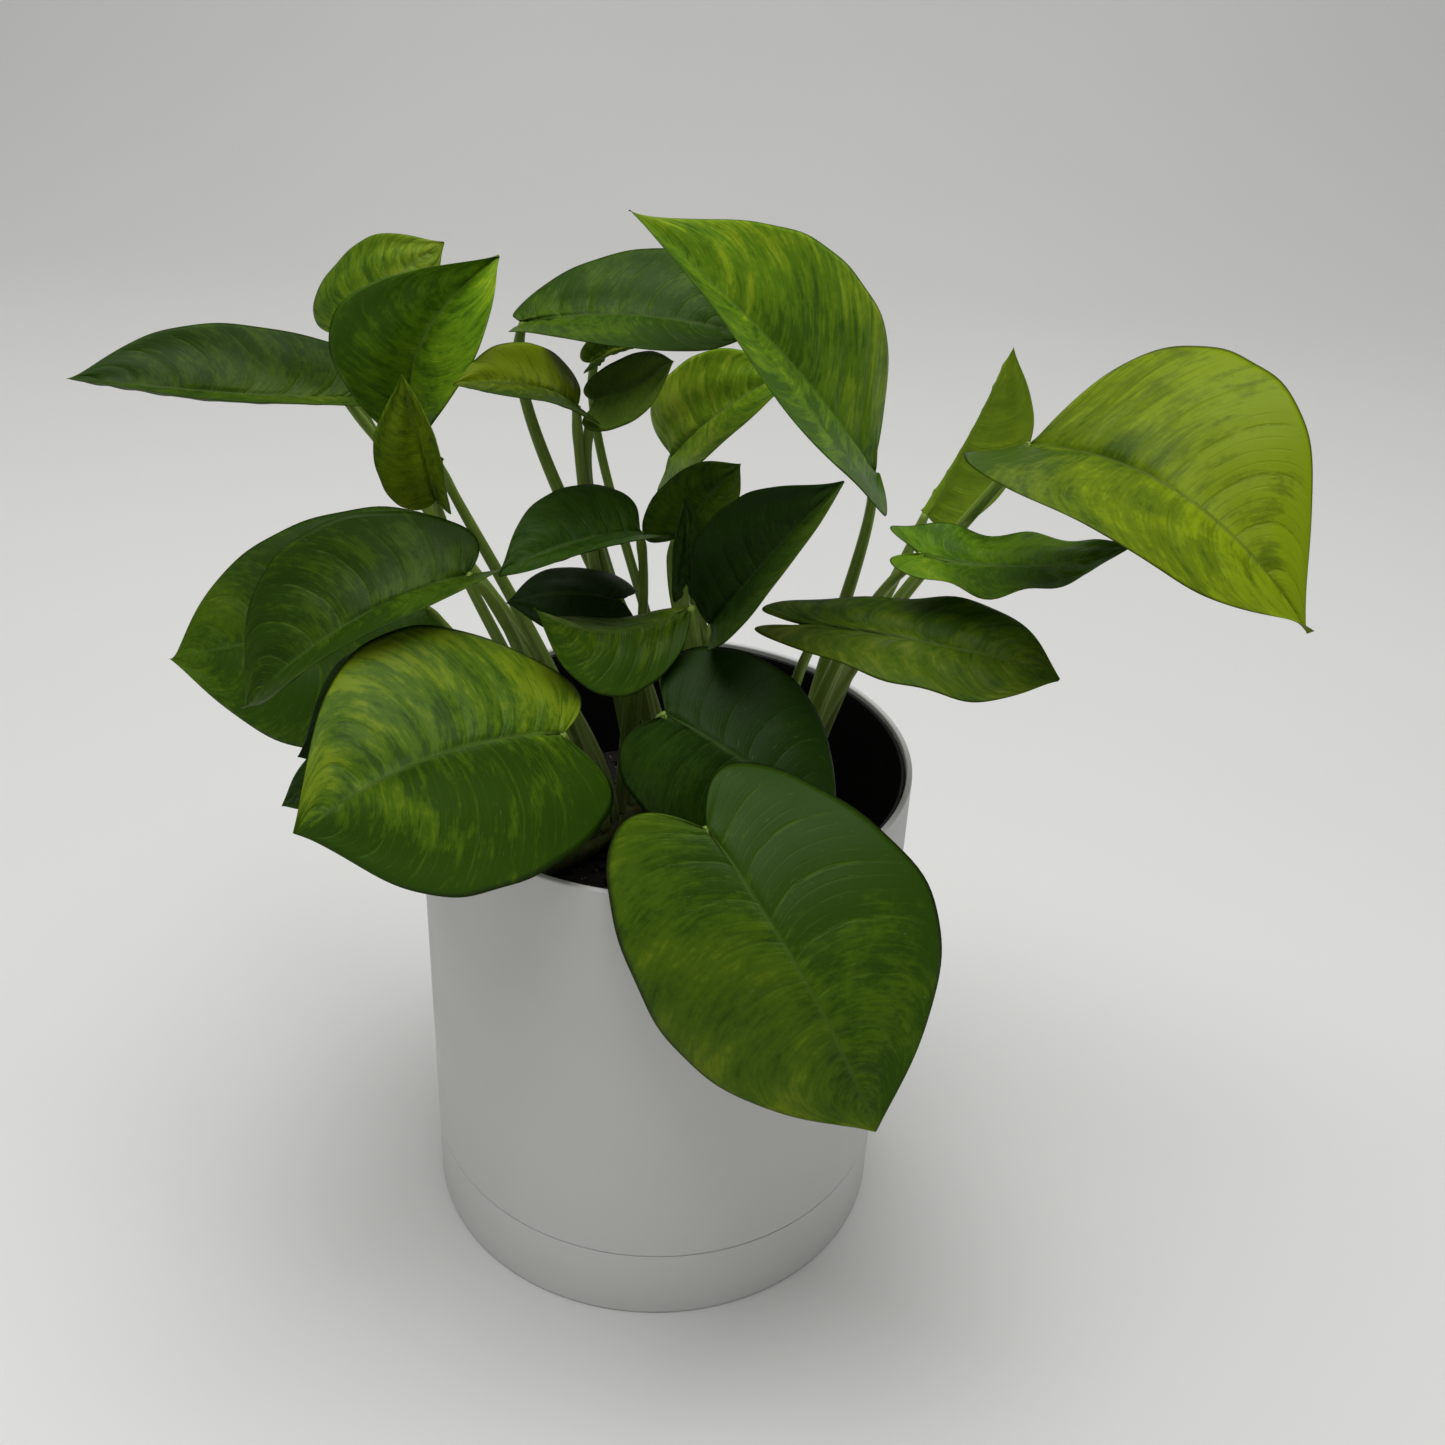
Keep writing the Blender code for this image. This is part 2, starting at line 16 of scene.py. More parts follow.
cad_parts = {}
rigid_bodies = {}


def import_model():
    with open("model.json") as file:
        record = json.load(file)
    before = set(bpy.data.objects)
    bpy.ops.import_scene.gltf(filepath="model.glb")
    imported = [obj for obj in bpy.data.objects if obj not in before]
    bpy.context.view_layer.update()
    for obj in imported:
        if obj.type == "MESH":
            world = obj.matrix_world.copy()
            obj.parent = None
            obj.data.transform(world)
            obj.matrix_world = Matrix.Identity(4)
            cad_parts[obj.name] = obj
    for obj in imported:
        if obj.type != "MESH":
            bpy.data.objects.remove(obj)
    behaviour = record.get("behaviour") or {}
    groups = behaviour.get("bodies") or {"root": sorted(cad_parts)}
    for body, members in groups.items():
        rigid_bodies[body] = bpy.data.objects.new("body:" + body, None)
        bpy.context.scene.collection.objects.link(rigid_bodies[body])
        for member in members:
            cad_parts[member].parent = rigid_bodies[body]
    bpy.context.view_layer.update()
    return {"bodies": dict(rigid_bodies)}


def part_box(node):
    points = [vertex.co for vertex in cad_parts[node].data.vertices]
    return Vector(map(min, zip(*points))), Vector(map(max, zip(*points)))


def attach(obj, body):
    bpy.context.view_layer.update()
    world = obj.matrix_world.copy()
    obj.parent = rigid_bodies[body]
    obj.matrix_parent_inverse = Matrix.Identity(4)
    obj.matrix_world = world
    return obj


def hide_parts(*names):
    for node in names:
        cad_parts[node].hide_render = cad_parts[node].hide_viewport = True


bl_info = {
    "name": "Potted pothos",
    "version": (1, 0, 0),
    "blender": (4, 5, 0),
    "location": "3D View > Sidebar > Pothos",
    "description": "Builds the leaves, stalks, pot and soil of a potted pothos",
    "category": "Object",
}

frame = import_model()
BODY = next(iter(frame["bodies"]))
MM = 0.001

POT_LOW, POT_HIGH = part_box("pot")
SAUCER_LOW, SAUCER_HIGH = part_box("saucer")
LINER_LOW, LINER_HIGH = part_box("grow_pot")
SOIL_LOW, SOIL_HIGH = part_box("soil")
VINE_LOW, VINE_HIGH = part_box("vine_left")

POT_RADIUS = POT_HIGH.x
VINE_RADIUS = (VINE_HIGH.z - VINE_LOW.z) / 2 / MM
VINE_HEIGHT = (VINE_HIGH.z + VINE_LOW.z) / 2 / MM
TABLE_RADIUS = 75.0      # the pot radius that the leaf and runner places are given for, mm
SPREAD = POT_RADIUS / MM / TABLE_RADIUS
JOINT_GAP = 0.3          # gap between the saucer and the pot on it, mm
FOOT_INSET = 2.3 * MM    # how far the pot's foot ring stands in from its wall
RING_WALL = 2 * MM       # thickness of the foot ring, and of the saucer's wall and floor
POT_FLOOR = 2.4 * MM     # thickness of the pot's floor
DRAIN_RADIUS = 8 * MM    # radius of the drain holes of the pot and the liner
LINER_FOOT = 60 * MM     # radius of the liner's floor
LINER_STEP = 1.2 * MM    # how far the liner's lip stands out from its wall
LINER_LIP = 9 * MM       # height of the liner's lip
CAMERA_PLACE = (0.0165, -0.412, 0.419)
CAMERA_PITCH = 30.6      # degrees below level
CAMERA_ROLL = 2.95       # degrees anticlockwise

# A leaf blade, in mm and degrees. base and tip are the ends of its midrib, measured from the
# middle of the pot's mouth, and face is where its upper side looks. arch is the midrib's rise
# towards that side and sway its bow to the left. fold and curl are the (left, right) halves'
# angles at the midrib and on the way out to the margin. left is the left hand of someone who
# stands on the upper side and looks from base to tip. bulge is how far along its margin the
# blade is widest, lobe how far its base lobes swing back, hook a late rise just before the
# tip, and wave the height of the margin's waves.
Leaf = namedtuple(
    "Leaf", "base tip face width arch sway fold curl bulge lobe hook wave",
    defaults=(5.0, 0.0, (0.0, 0.0), (-10.0, -10.0), 0.55, 0.9, 0.0, 0.0))

LEAVES = {
    "front_right": Leaf(
        base=(14, -73, 21), tip=(62, -110, -46), face=(0.0, -0.83, 0.55),
        width=85, arch=8, sway=3, fold=(-8, -8), curl=(-15, -15), bulge=0.6),
    "front_left": Leaf(
        base=(-25, -60, 40), tip=(-85, -100, 32), face=(0.0, -0.8, 0.6),
        width=76, arch=8, sway=-5, fold=(-5, -5), curl=(-15, -15), bulge=0.6, lobe=0.9),
    "front_middle": Leaf(
        base=(1, -44, 38), tip=(50, -54, 10), face=(-0.1, -0.65, 0.75),
        width=60, arch=6, fold=(-8, -25)),
    "low_left_wet": Leaf(
        base=(-76, 20, 34), tip=(-153, 10, 17), face=(0.0, -0.7, 0.7),
        width=78, arch=8, sway=3, curl=(-15, -15), bulge=0.5),
    "left_over": Leaf(
        base=(-54, -28, 69), tip=(-112, -48, 35), face=(0.0, -0.4, 0.9),
        width=56, arch=8, fold=(32, 15), curl=(20, 20), bulge=0.6, lobe=0.7),
    "left_under": Leaf(
        base=(-50, -27, 38), tip=(-100, -45, 19), face=(0.0, -0.5, 0.87),
        width=46, arch=6, bulge=0.6, lobe=0.5),
    "left_torn": Leaf(
        base=(-79, -30, 15), tip=(-111, -30, -8), face=(0.0, -0.6, 0.8),
        width=20, arch=3),
    "right_lime": Leaf(
        base=(94, -10, 107), tip=(160, -60, 80), face=(-0.1, -0.75, 0.65),
        width=84, arch=12, sway=7, fold=(5, 34), curl=(-15, 20), bulge=0.43, lobe=0.3),
    "right_upright": Leaf(
        base=(73, 20, 73), tip=(90, 10, 127), face=(0.5, 0.8, -0.2),
        width=34, arch=3, fold=(30, 80), lobe=0.5),
    "right_wavy": Leaf(
        base=(69, -13, 75), tip=(124, -23, 86), face=(0.0, -0.35, 0.94),
        width=32, arch=-7, fold=(-10, 12), curl=(5, 10), wave=2),
    "right_low": Leaf(
        base=(43, -24, 57), tip=(105, -43, 54), face=(0.0, -0.3, 0.95),
        width=42, arch=2, fold=(5, 5), hook=17, bulge=0.72, wave=1, lobe=1.3),
    "centre_dark": Leaf(
        base=(12, -21, 54), tip=(44, -35, 104), face=(-0.1, -0.85, 0.5),
        width=39, arch=5, fold=(0, 65), lobe=0.3, bulge=0.5),
    "centre_folded": Leaf(
        base=(4, -8, 59), tip=(3, -6, 85), face=(0.3, -0.9, 0.2),
        width=13, arch=2, fold=(30, 30), curl=(10, 10)),
    "centre_cupped": Leaf(
        base=(0, 3, 68), tip=(18, 9, 90), face=(0.0, -0.7, 0.7),
        width=25, arch=3, fold=(20, 20), curl=(20, 20)),
    "centre_left": Leaf(
        base=(-9, -8, 75), tip=(-44, -38, 74), face=(0.0, -0.45, 0.9),
        width=33, arch=4, fold=(28, 15), curl=(15, 10), bulge=0.5, lobe=0.6),
    "middle_dark": Leaf(
        base=(-14, -10, 55), tip=(-46, -14, 54), face=(0.0, -0.25, 0.97),
        width=27, arch=3, fold=(-20, 0)),
    "middle_edge": Leaf(
        base=(6, -22, 60), tip=(-34, -46, 69), face=(0.0, 0.0, 1.0),
        width=37, arch=-7, fold=(-45, -10), lobe=0.1),
    "top_large": Leaf(
        base=(57, 25, 83), tip=(-13, -12, 163), face=(0.3, -0.75, 0.6),
        width=74, arch=10, sway=2, fold=(40, 0), curl=(10, -10), bulge=0.43, lobe=0.1),
    "top_back": Leaf(
        base=(-44, 17, 125), tip=(18, 11, 126), face=(0.0, -0.5, 0.85),
        width=46, arch=5, fold=(8, 20), curl=(10, 10), bulge=0.68, lobe=0.6),
    "top_yellow": Leaf(
        base=(-27, -1, 108), tip=(-56, -27, 121), face=(0.0, -0.5, 0.85),
        width=27, arch=4, fold=(15, 15), curl=(10, 10), bulge=0.5, lobe=0.6),
    "top_shaded": Leaf(
        base=(-22, 2, 108), tip=(-1, -8, 124), face=(0.5, 0.5, -0.6),
        width=22, arch=2),
    "top_curled": Leaf(
        base=(-26, 30, 110), tip=(-13, 30, 116), face=(0.0, -0.5, 0.8),
        width=12, arch=2, fold=(30, 30), curl=(30, 30)),
    "upper_left": Leaf(
        base=(-70, 20, 81), tip=(-49, 9, 145), face=(0.3, -0.9, 0.3),
        width=60, arch=8, sway=15, fold=(20, 65), curl=(0, 10), bulge=0.76, lobe=0.4),
    "upper_left_back": Leaf(
        base=(-102, 48, 108), tip=(-71, 50, 137), face=(0.0, -0.7, 0.7),
        width=40, arch=4, bulge=0.5),
    "far_left": Leaf(
        base=(-95, 18, 100), tip=(-166, 0, 108), face=(0.0, -0.3, 0.95),
        width=42, arch=-1, fold=(25, 25), curl=(15, 15), bulge=0.6),
    "left_rolled": Leaf(
        base=(-66, -5, 80), tip=(-72, -12, 118), face=(0.2, -0.9, 0.3),
        width=28, arch=2, fold=(10, 60), curl=(10, 30), lobe=0.5),
    "centre_pale": Leaf(
        base=(-3, 37, 80), tip=(33, 27, 113), face=(-0.3, -0.7, 0.6),
        width=40, arch=5, fold=(5, 30), curl=(5, 15), bulge=0.5, lobe=0.6),
}

# A stalk: the vine that it grows from, its slot along that vine, its radius at the foot,
# how far it leans out from its foot, and how steeply it still climbs where it meets the leaf.
Stalk = namedtuple("Stalk", "vine slot radius lean climb", defaults=((0.0, 0.0), 0.6))

STALKS = {
    "left_torn": Stalk("left", 0, 1.5, (-10, -4)),
    "left_under": Stalk("left", 1, 1.7, (-10, -4)),
    "front_left": Stalk("left", 2, 2.0),
    "left_over": Stalk("left", 3, 2.0, (4, 6), 0.3),
    "low_left_wet": Stalk("left", 4, 2.0),
    "left_rolled": Stalk("left", 5, 1.9),
    "far_left": Stalk("left", 6, 1.9),
    "upper_left": Stalk("left", 7, 2.3),
    "upper_left_back": Stalk("left", 8, 1.7),
    "middle_dark": Stalk("left", 9, 1.6),
    "centre_left": Stalk("left", 10, 1.6),
    "top_yellow": Stalk("left", 11, 1.9, (-8, -2), 1.5),
    "top_shaded": Stalk("left", 12, 2.3, (4, 2), 1.5),
    "top_back": Stalk("left", 13, 2.4),
    "top_curled": Stalk("left", 14, 1.5),
    "front_right": Stalk("right", 0, 2.0, (6, -16), 1.0),
    "front_middle": Stalk("right", 1, 1.8),
    "middle_edge": Stalk("right", 2, 1.7, (-3, 4), 4.0),
    "centre_dark": Stalk("right", 3, 2.0, (2, 4), 4.0),
    "centre_folded": Stalk("right", 4, 1.5),
    "centre_cupped": Stalk("right", 5, 1.6),
    "centre_pale": Stalk("right", 6, 1.8),
    "right_low": Stalk("right", 7, 2.2),
    "right_wavy": Stalk("right", 8, 2.5, (5, 7)),
    "right_lime": Stalk("right", 9, 2.5, (2, 20)),
    "right_upright": Stalk("right", 10, 2.4, (6, 14)),
    "top_large": Stalk("right", 11, 2.5, (-4, 14)),
}

STALK_SINK = 1.0         # how far below the top of its runner a stalk's axis starts, mm
STALK_DROP = 0.5         # how far behind the blade's base it ends, mm
STALK_TIP_RADIUS = 1.2   # radius at the blade, mm
STALK_FOOT_SCALE = 1.15  # radius at the foot, as a share of the table's
STALK_TAPER = 0.8        # power of the taper from foot to blade
LEAN_PULL = 3            # how much of its lean a stalk takes at the foot
LEAVE_PULL = 0.9         # pull straight up at the foot, as a share of the stalk's span
ARRIVE_PULL = 0.7        # pull along the blade at its top, as a share of the span
FACE_DOWN = -0.5         # a blade whose face points lower than this hangs upside down

VINE_SLOT = 5.6          # spacing of the stalks along a vine
VINE_MARGIN = 5.0        # bare length past the first and the last stalk
VINE_SWING = 1.5         # how far a vine swings to each side of its line, mm
VINE_BEND = 0.7          # how fast it swings, in radians for each slot
VINES = {                # where each vine starts on the soil, and the way it creeps
    "left": ((-44, -30), (0.58, 0.81)),
    "right": ((8, -38), (0.58, 0.81)),
}

# How each blade is coloured. finish is the record's slot. The number after it brightens or
# darkens the finish. It is fitted leaf by leaf and holds the leaf's own shade of green together
# with painted light and shade, so a leaf the lamps leave dim, such as upper_left, is painted
# brighter. amount is how far the pale colour has taken over, streak how torn its edges are,
# seed picks the pattern. to_left and to_tip shift the pale colour to the left half and to the
# tip. On middle_edge, to_left darkens the left half that hangs down, as painted shade.
Tint = namedtuple("Tint", "finish tone amount streak seed to_left to_tip", defaults=(0.0, 0.0))

TINTS = {
    "front_right": Tint("green", 1.10, 0.30, 0.5, 1.3, -0.25, 0.40),
    "front_left": Tint("green", 1.25, 0.38, 1.5, 2.1, -0.30, -0.1),
    "front_middle": Tint("dark", 1.00, 0.25, 0.4, 3.7, -0.2, 0.0),
    "low_left_wet": Tint("green", 1.30, 0.25, 0.4, 4.4, 0.0, 0.3),
    "left_over": Tint("green", 0.90, 0.30, 0.7, 5.2, 0.05, 0.0),
    "left_under": Tint("dark", 0.80, 0.25, 0.4, 6.6),
    "left_torn": Tint("dark", 1.0, 0.40, 0.6, 7.1, 0.0, 0.3),
    "right_lime": Tint("lime", 0.78, 0.58, 0.9, 8.4, 0.20, 0.55),
    "right_upright": Tint("lime", 1.90, 0.55, 0.6, 9.9),
    "right_wavy": Tint("green", 2.00, 0.34, 0.5, 10.2, -0.1, 0.0),
    "right_low": Tint("pale", 0.85, 0.42, 1.0, 11.8, -0.1, 0.1),
    "centre_dark": Tint("dark", 0.75, 0.32, 0.5, 12.5, -0.35, 0.0),
    "centre_folded": Tint("dark", 1.0, 0.35, 0.5, 13.4),
    "centre_cupped": Tint("green", 1.20, 0.50, 0.7, 14.6, 0.0, 0.2),
    "centre_left": Tint("dark", 1.10, 0.35, 0.4, 15.1),
    "middle_dark": Tint("dark", 0.80, 0.22, 0.4, 16.3),
    # Its left half hangs down and is darkened through to_left: painted shade.
    "middle_edge": Tint("pale", 0.90, 0.30, 1.2, 17.7, -0.2, 0.0),
    "top_large": Tint("green", 2.00, 0.42, 1.2, 18.9, -0.20, 0.15),
    "top_back": Tint("green", 1.15, 0.30, 0.6, 19.2, 0.0, -0.1),
    "top_yellow": Tint("lime", 0.50, 0.50, 0.9, 20.5, -0.5, 0.1),
    "top_shaded": Tint("green", 1.3, 0.50, 0.6, 21.8),
    "top_curled": Tint("pale", 1.3, 0.60, 0.8, 22.4),
    "upper_left": Tint("green", 2.20, 0.36, 0.9, 23.6, -0.1, 0.0),
    "upper_left_back": Tint("pale", 1.40, 0.50, 1.1, 24.7),
    "far_left": Tint("green", 0.85, 0.34, 0.7, 25.5, 0.1, -0.1),
    "left_rolled": Tint("lime", 1.00, 0.40, 0.6, 26.2),
    "centre_pale": Tint("pale", 2.00, 0.50, 1.1, 27.9, 0.1, 0.0),
}

# Dark, middle and pale colours of each finish's upper side, and the colour of its underside.
FINISHES = {
    "green": ((0.022, 0.055, 0.002), (0.052, 0.105, 0.003), (0.120, 0.175, 0.006),
              (0.060, 0.105, 0.014)),
    "dark": ((0.012, 0.036, 0.002), (0.024, 0.062, 0.003), (0.060, 0.110, 0.006),
             (0.050, 0.090, 0.016)),
    "pale": ((0.032, 0.078, 0.003), (0.075, 0.135, 0.004), (0.155, 0.205, 0.012),
             (0.080, 0.130, 0.022)),
    "lime": ((0.055, 0.115, 0.003), (0.140, 0.215, 0.004), (0.255, 0.360, 0.005),
             (0.110, 0.170, 0.014)),
}

LATERAL_VEINS = 8.0      # lateral veins on each side of a midrib
HEART_FULLNESS = 0.75    # power of the half width's sine, lower is fuller
TIP_NARROWING = 0.75     # share of the width that the drawn-out tip loses
VEIN_SWEEP = 0.24        # how far along the blade a lateral vein runs forward to the margin


class PothosPotSettings(bpy.types.PropertyGroup):
    """Sizes and colours of the pot, its saucer and its liner."""

    wall: FloatProperty(
        name="Pot wall", description="Thickness of the pot's wall", default=1.8 * MM,
        min=0.5 * MM, unit="LENGTH")
    liner_wall: FloatProperty(
        name="Liner wall", description="Thickness of the black grow pot's wall",
        default=1.2 * MM, min=0.5 * MM, unit="LENGTH")
    edge: FloatProperty(
        name="Edge rounding", description="Radius of the pot's rounded edges",
        default=0.5 * MM, min=0.1 * MM, unit="LENGTH")
    steps: IntProperty(
        name="Round steps", description="Faces round the pot", default=240, min=24)
    colour: FloatVectorProperty(
        name="Pot colour", description="Colour of the pot and its saucer",
        default=(0.68, 0.68, 0.665), min=0, max=1, size=3, subtype="COLOR")
    liner_colour: FloatVectorProperty(
        name="Liner colour", description="Colour of the grow pot",
        default=(0.005, 0.005, 0.005), min=0, max=1, size=3, subtype="COLOR")


class PothosLeafSettings(bpy.types.PropertyGroup):
    """Sizes that every leaf blade shares."""

    thickness: FloatProperty(
        name="Thickness", description="Thickness of a blade", default=0.5 * MM,
        min=0.1 * MM, unit="LENGTH")
    vein_depth: FloatProperty(
        name="Vein depth", description="Depth of the furrow over a lateral vein",
        default=0.38 * MM, min=0, unit="LENGTH")
    midrib_rise: FloatProperty(
        name="Midrib rise", description="How far the midrib stands out below the blade",
        default=1.1 * MM, min=0, unit="LENGTH")
    ripple: FloatProperty(
        name="Ripple", description="Height of the margin's waves as a share of the width",
        default=0.016, min=0, subtype="FACTOR")
    rows: IntProperty(
        name="Rows", description="Rows of faces from base to tip", default=92, min=12)
    columns: IntProperty(
        name="Columns", description="Columns of faces on each half", default=26, min=4)


class PothosStalkSettings(bpy.types.PropertyGroup):
    """Sizes and colours that every stalk shares."""

    channel: FloatProperty(
        name="Channel", description="Depth of a stalk's channel as a share of its radius",
        default=0.42, min=0, max=0.8, subtype="FACTOR")
    wing: FloatProperty(
        name="Sheath wing", description="Height of the sheath's edges as a share of the radius",
        default=0.30, min=0, max=0.8, subtype="FACTOR")
    colour: FloatVectorProperty(
        name="Stalk colour", description="Colour of the stalks", default=(0.200, 0.300, 0.045),
        min=0, max=1, size=3, subtype="COLOR")
    sheath_colour: FloatVectorProperty(
        name="Sheath colour", description="Colour of a sheath's pale edges",
        default=(0.42, 0.48, 0.22), min=0, max=1, size=3, subtype="COLOR")


class PothosStageSettings(bpy.types.PropertyGroup):
    """Floor, light and camera."""

    floor_colour: FloatVectorProperty(
        name="Floor colour", description="Colour of the floor and backdrop",
        default=(0.78, 0.78, 0.765), min=0, max=1, size=3, subtype="COLOR")
    key_power: FloatProperty(
        name="Key light", description="Power of the overhead light in watts", default=31.0,
        min=0)
    fill_power: FloatProperty(
        name="Fill light", description="Power of the front light in watts", default=0.4, min=0)
    ambient: FloatProperty(
        name="Ambient", description="Strength of the surrounding light", default=0.20, min=0)
    lens: FloatProperty(
        name="Lens", description="Focal length in mm on a 36 mm sensor", default=39.4, min=10)


# ---------------------------------------------------------------- surfaces

def unit(vector):
    return vector / np.linalg.norm(vector)


def grid_quads(rows, columns, wrap_rows=False, wrap_columns=False):
    """Quads between neighbouring points of a grid. A wrapped side joins its end to its start."""
    index = np.arange(rows * columns).reshape(rows, columns)
    if wrap_rows:
        index = np.concatenate([index, index[:1]], axis=0)
    if wrap_columns:
        index = np.concatenate([index, index[:, :1]], axis=1)
    corners = [index[:-1, :-1], index[:-1, 1:], index[1:, 1:], index[1:, :-1]]
    return np.stack(corners, axis=-1).reshape(-1, 4)


def fan_triangles(ring, pole):
    """Triangles between a closed ring of point numbers and one pole."""
    after = np.roll(ring, -1)
    return np.stack([ring, after, np.full_like(ring, pole)], axis=-1)


def end_caps(count, last):
    """Closes the first and last ring of count points with poles numbered last and last + 1."""
    ring = np.arange(count)
    return np.concatenate([fan_triangles(ring[::-1], last),
                           fan_triangles(last - count + ring, last + 1)])


def full_turn(count):
    """Evenly spaced angles round a whole circle."""
    return np.linspace(0, 2 * pi, count, endpoint=False)


def enclosed_volume(points, triangles):
    """Volume inside a closed shape, negative where its faces point inwards."""
    a, b, c = (points[triangles[:, corner]] for corner in range(3))
    return np.einsum("ij,ij->", a, np.cross(b, c)) / 6


def make_piece(name, points, quads, triangles, facts=None):
    """Puts a closed surface into a smooth mesh object, faces outwards.

    points are in metres. facts are three-number attributes by name, one row per point.
    """
    quads = np.asarray(quads, np.int64).reshape(-1, 4)
    triangles = np.asarray(triangles, np.int64).reshape(-1, 3)
    everything = np.concatenate([quads[:, [0, 1, 2]], quads[:, [0, 2, 3]], triangles])
    if enclosed_volume(points, everything) < 0:
        quads = quads[:, ::-1]
        triangles = triangles[:, ::-1]
    mesh = bpy.data.meshes.new(name)
    mesh.vertices.add(len(points))
    mesh.vertices.foreach_set("co", np.asarray(points, np.float32).ravel())
    corners = np.concatenate([quads.ravel(), triangles.ravel()])
    starts = np.concatenate([np.arange(len(quads)) * 4,
                             4 * len(quads) + np.arange(len(triangles)) * 3])
    mesh.loops.add(len(corners))
    mesh.loops.foreach_set("vertex_index", corners.astype(np.int32))
    mesh.polygons.add(len(starts))
    mesh.polygons.foreach_set("loop_start", starts.astype(np.int32))
    mesh.polygons.foreach_set("use_smooth", np.ones(len(starts), bool))
    for fact, values in (facts or {}).items():
        layer = mesh.attributes.new(fact, "FLOAT_VECTOR", "POINT")
        layer.data.foreach_set("vector", np.asarray(values, np.float32).ravel())
    mesh.update(calc_edges=True)
    mesh.validate()
    piece = bpy.data.objects.new(name, mesh)
    bpy.context.scene.collection.objects.link(piece)
    return piece


def settle(piece, finish, slot, *nodes):
    """Gives a piece its material and its body, and hides the frame nodes it stands for. slot is not
    used.
    """
    piece.data.materials.append(finish)
    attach(piece, BODY)
    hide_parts(*nodes)
    return piece


def rounded_outline(corners, arc_steps=6):
    """Outline through (radius, height, rounding) corners, in order, each corner an arc.

    A corner's arc starts and ends its rounding away along both edges and bends between them
    as a quadratic curve. A corner with no rounding stays one sharp point.
    """
    share = np.linspace(0, 1, arc_steps + 1)[:, None]
    places = np.array([corner[:2] for corner in corners], float)
    outline = []
    for number, (radius, height, rounding) in enumerate(corners):
        here = np.array([radius, height])
        if rounding == 0:
            outline.append(here[None, :])
            continue
        start = here + unit(places[number - 1] - here) * rounding
        end = here + unit(places[(number + 1) % len(corners)] - here) * rounding
        outline.append((1 - share) ** 2 * start + 2 * share * (1 - share) * here
                       + share**2 * end)
    return np.concatenate(outline)


def turned_piece(name, outline, steps):
    """Turns an outline of (radius, height) about the pot's axis.

    An outline that starts and ends on the axis closes there in two poles, and any other is
    a closed ring that runs round the axis.
    """
    outline = np.asarray(outline)
    on_axis = outline[0, 0] == 0
    ring = outline[1:-1] if on_axis else outline
    turn = full_turn(steps)
    radius, height = ring[:, :1], ring[:, 1:]
    points = np.stack([radius * np.cos(turn), radius * np.sin(turn),
                       height + 0 * turn], axis=-1).reshape(-1, 3)
    if not on_axis:
        return make_piece(name, points, grid_quads(len(ring), steps, True, True), [])
    poles = np.array([[0, 0, outline[0, 1]], [0, 0, outline[-1, 1]]])
    ends = end_caps(steps, len(points))
    points = np.concatenate([points, poles])
    return make_piece(name, points, grid_quads(len(ring), steps, False, True), ends)


def tube_piece(name, route, section, facts):
    """Carries a round section along a route and closes both ends with a pole.

    route is rows of points, section gives each row's radii by angle, and facts are
    (rows, angles, 3) arrays. The section's first angle points to the route's upper side:
    each row is turned so that its side direction stays square to the route and level with
    the plane in which the route bends.
    """
    along = np.gradient(route, axis=0)
    along /= np.linalg.norm(along, axis=1)[:, None]
    plane = unit(np.cross(along[0], along[-1] + [0.01, 0.02, 0.0]))
    side = plane - (along @ plane)[:, None] * along
    side /= np.linalg.norm(side, axis=1)[:, None]
    upper = np.cross(side, along)
    rows, angles = section.shape
    turn = full_turn(angles)
    out = (np.cos(turn)[None, :, None] * upper[:, None, :]
           + np.sin(turn)[None, :, None] * side[:, None, :])
    points = (route[:, None, :] + section[:, :, None] * out).reshape(-1, 3)
    ends = end_caps(angles, len(points))
    tips = np.stack([route[0] - along[0] * section[0].mean() * 0.5,
                     route[-1] + along[-1] * section[-1].mean() * 0.5])
    points = np.concatenate([points, tips])
    values = {}
    for fact, value in facts.items():
        value = np.asarray(value)
        values[fact] = np.concatenate([value.reshape(-1, 3), value[0, :1], value[-1, :1]])
    return make_piece(name, points, grid_quads(rows, angles, False, True), ends, values)


# ---------------------------------------------------------------- node trees

def plug(tree, socket, value):
    """Links an output to a socket, or sets the socket's own value."""
    if isinstance(value, bpy.types.NodeSocket):
        tree.links.new(value, socket)
    elif value is not None:
        if isinstance(value, (tuple, list)) and len(value) == 3 and socket.type == "RGBA":
            value = (*value, 1.0)
        socket.default_value = value


def add_node(tree, kind, *values, **settings):
    """Adds a node, sets its options, and fills its inputs in order."""
    made = tree.nodes.new(kind)
    for option, value in settings.items():
        setattr(made, option, value)
    for socket, value in zip([s for s in made.inputs if s.enabled], values):
        plug(tree, socket, value)
    return made


def maths(tree, operation, *values, clamp=False):
    return add_node(tree, "ShaderNodeMath", *values, operation=operation,
                    use_clamp=clamp).outputs[0]


def sway_by(tree, value, signal, weight):
    """Adds to a value how far a signal lies from a half, times a weight."""
    away = maths(tree, "SUBTRACT", signal, 0.5)
    return maths(tree, "ADD", value, maths(tree, "MULTIPLY", away, weight))


def blend_colour(tree, share, low, high, mode="MIX"):
    made = tree.nodes.new("ShaderNodeMix")
    made.data_type = "RGBA"
    made.blend_type = mode
    plug(tree, made.inputs["Factor"], share)
    plug(tree, made.inputs[6], low)
    plug(tree, made.inputs[7], high)
    return made.outputs[2]


def rise(tree, value, start, end, low=0.0, high=1.0):
    """Smooth step of a value from low at start to high at end."""
    made = add_node(tree, "ShaderNodeMapRange", value, start, end, low, high,
                    interpolation_type="SMOOTHSTEP")
    return made.outputs[0]


def noise(tree, vector, scale, detail=2.0, roughness=0.5, distortion=0.0):
    made = tree.nodes.new("ShaderNodeTexNoise")
    plug(tree, made.inputs["Vector"], vector)
    made.inputs["Scale"].default_value = scale
    made.inputs["Detail"].default_value = detail
    made.inputs["Roughness"].default_value = roughness
    made.inputs["Distortion"].default_value = distortion
    return made.outputs[0]


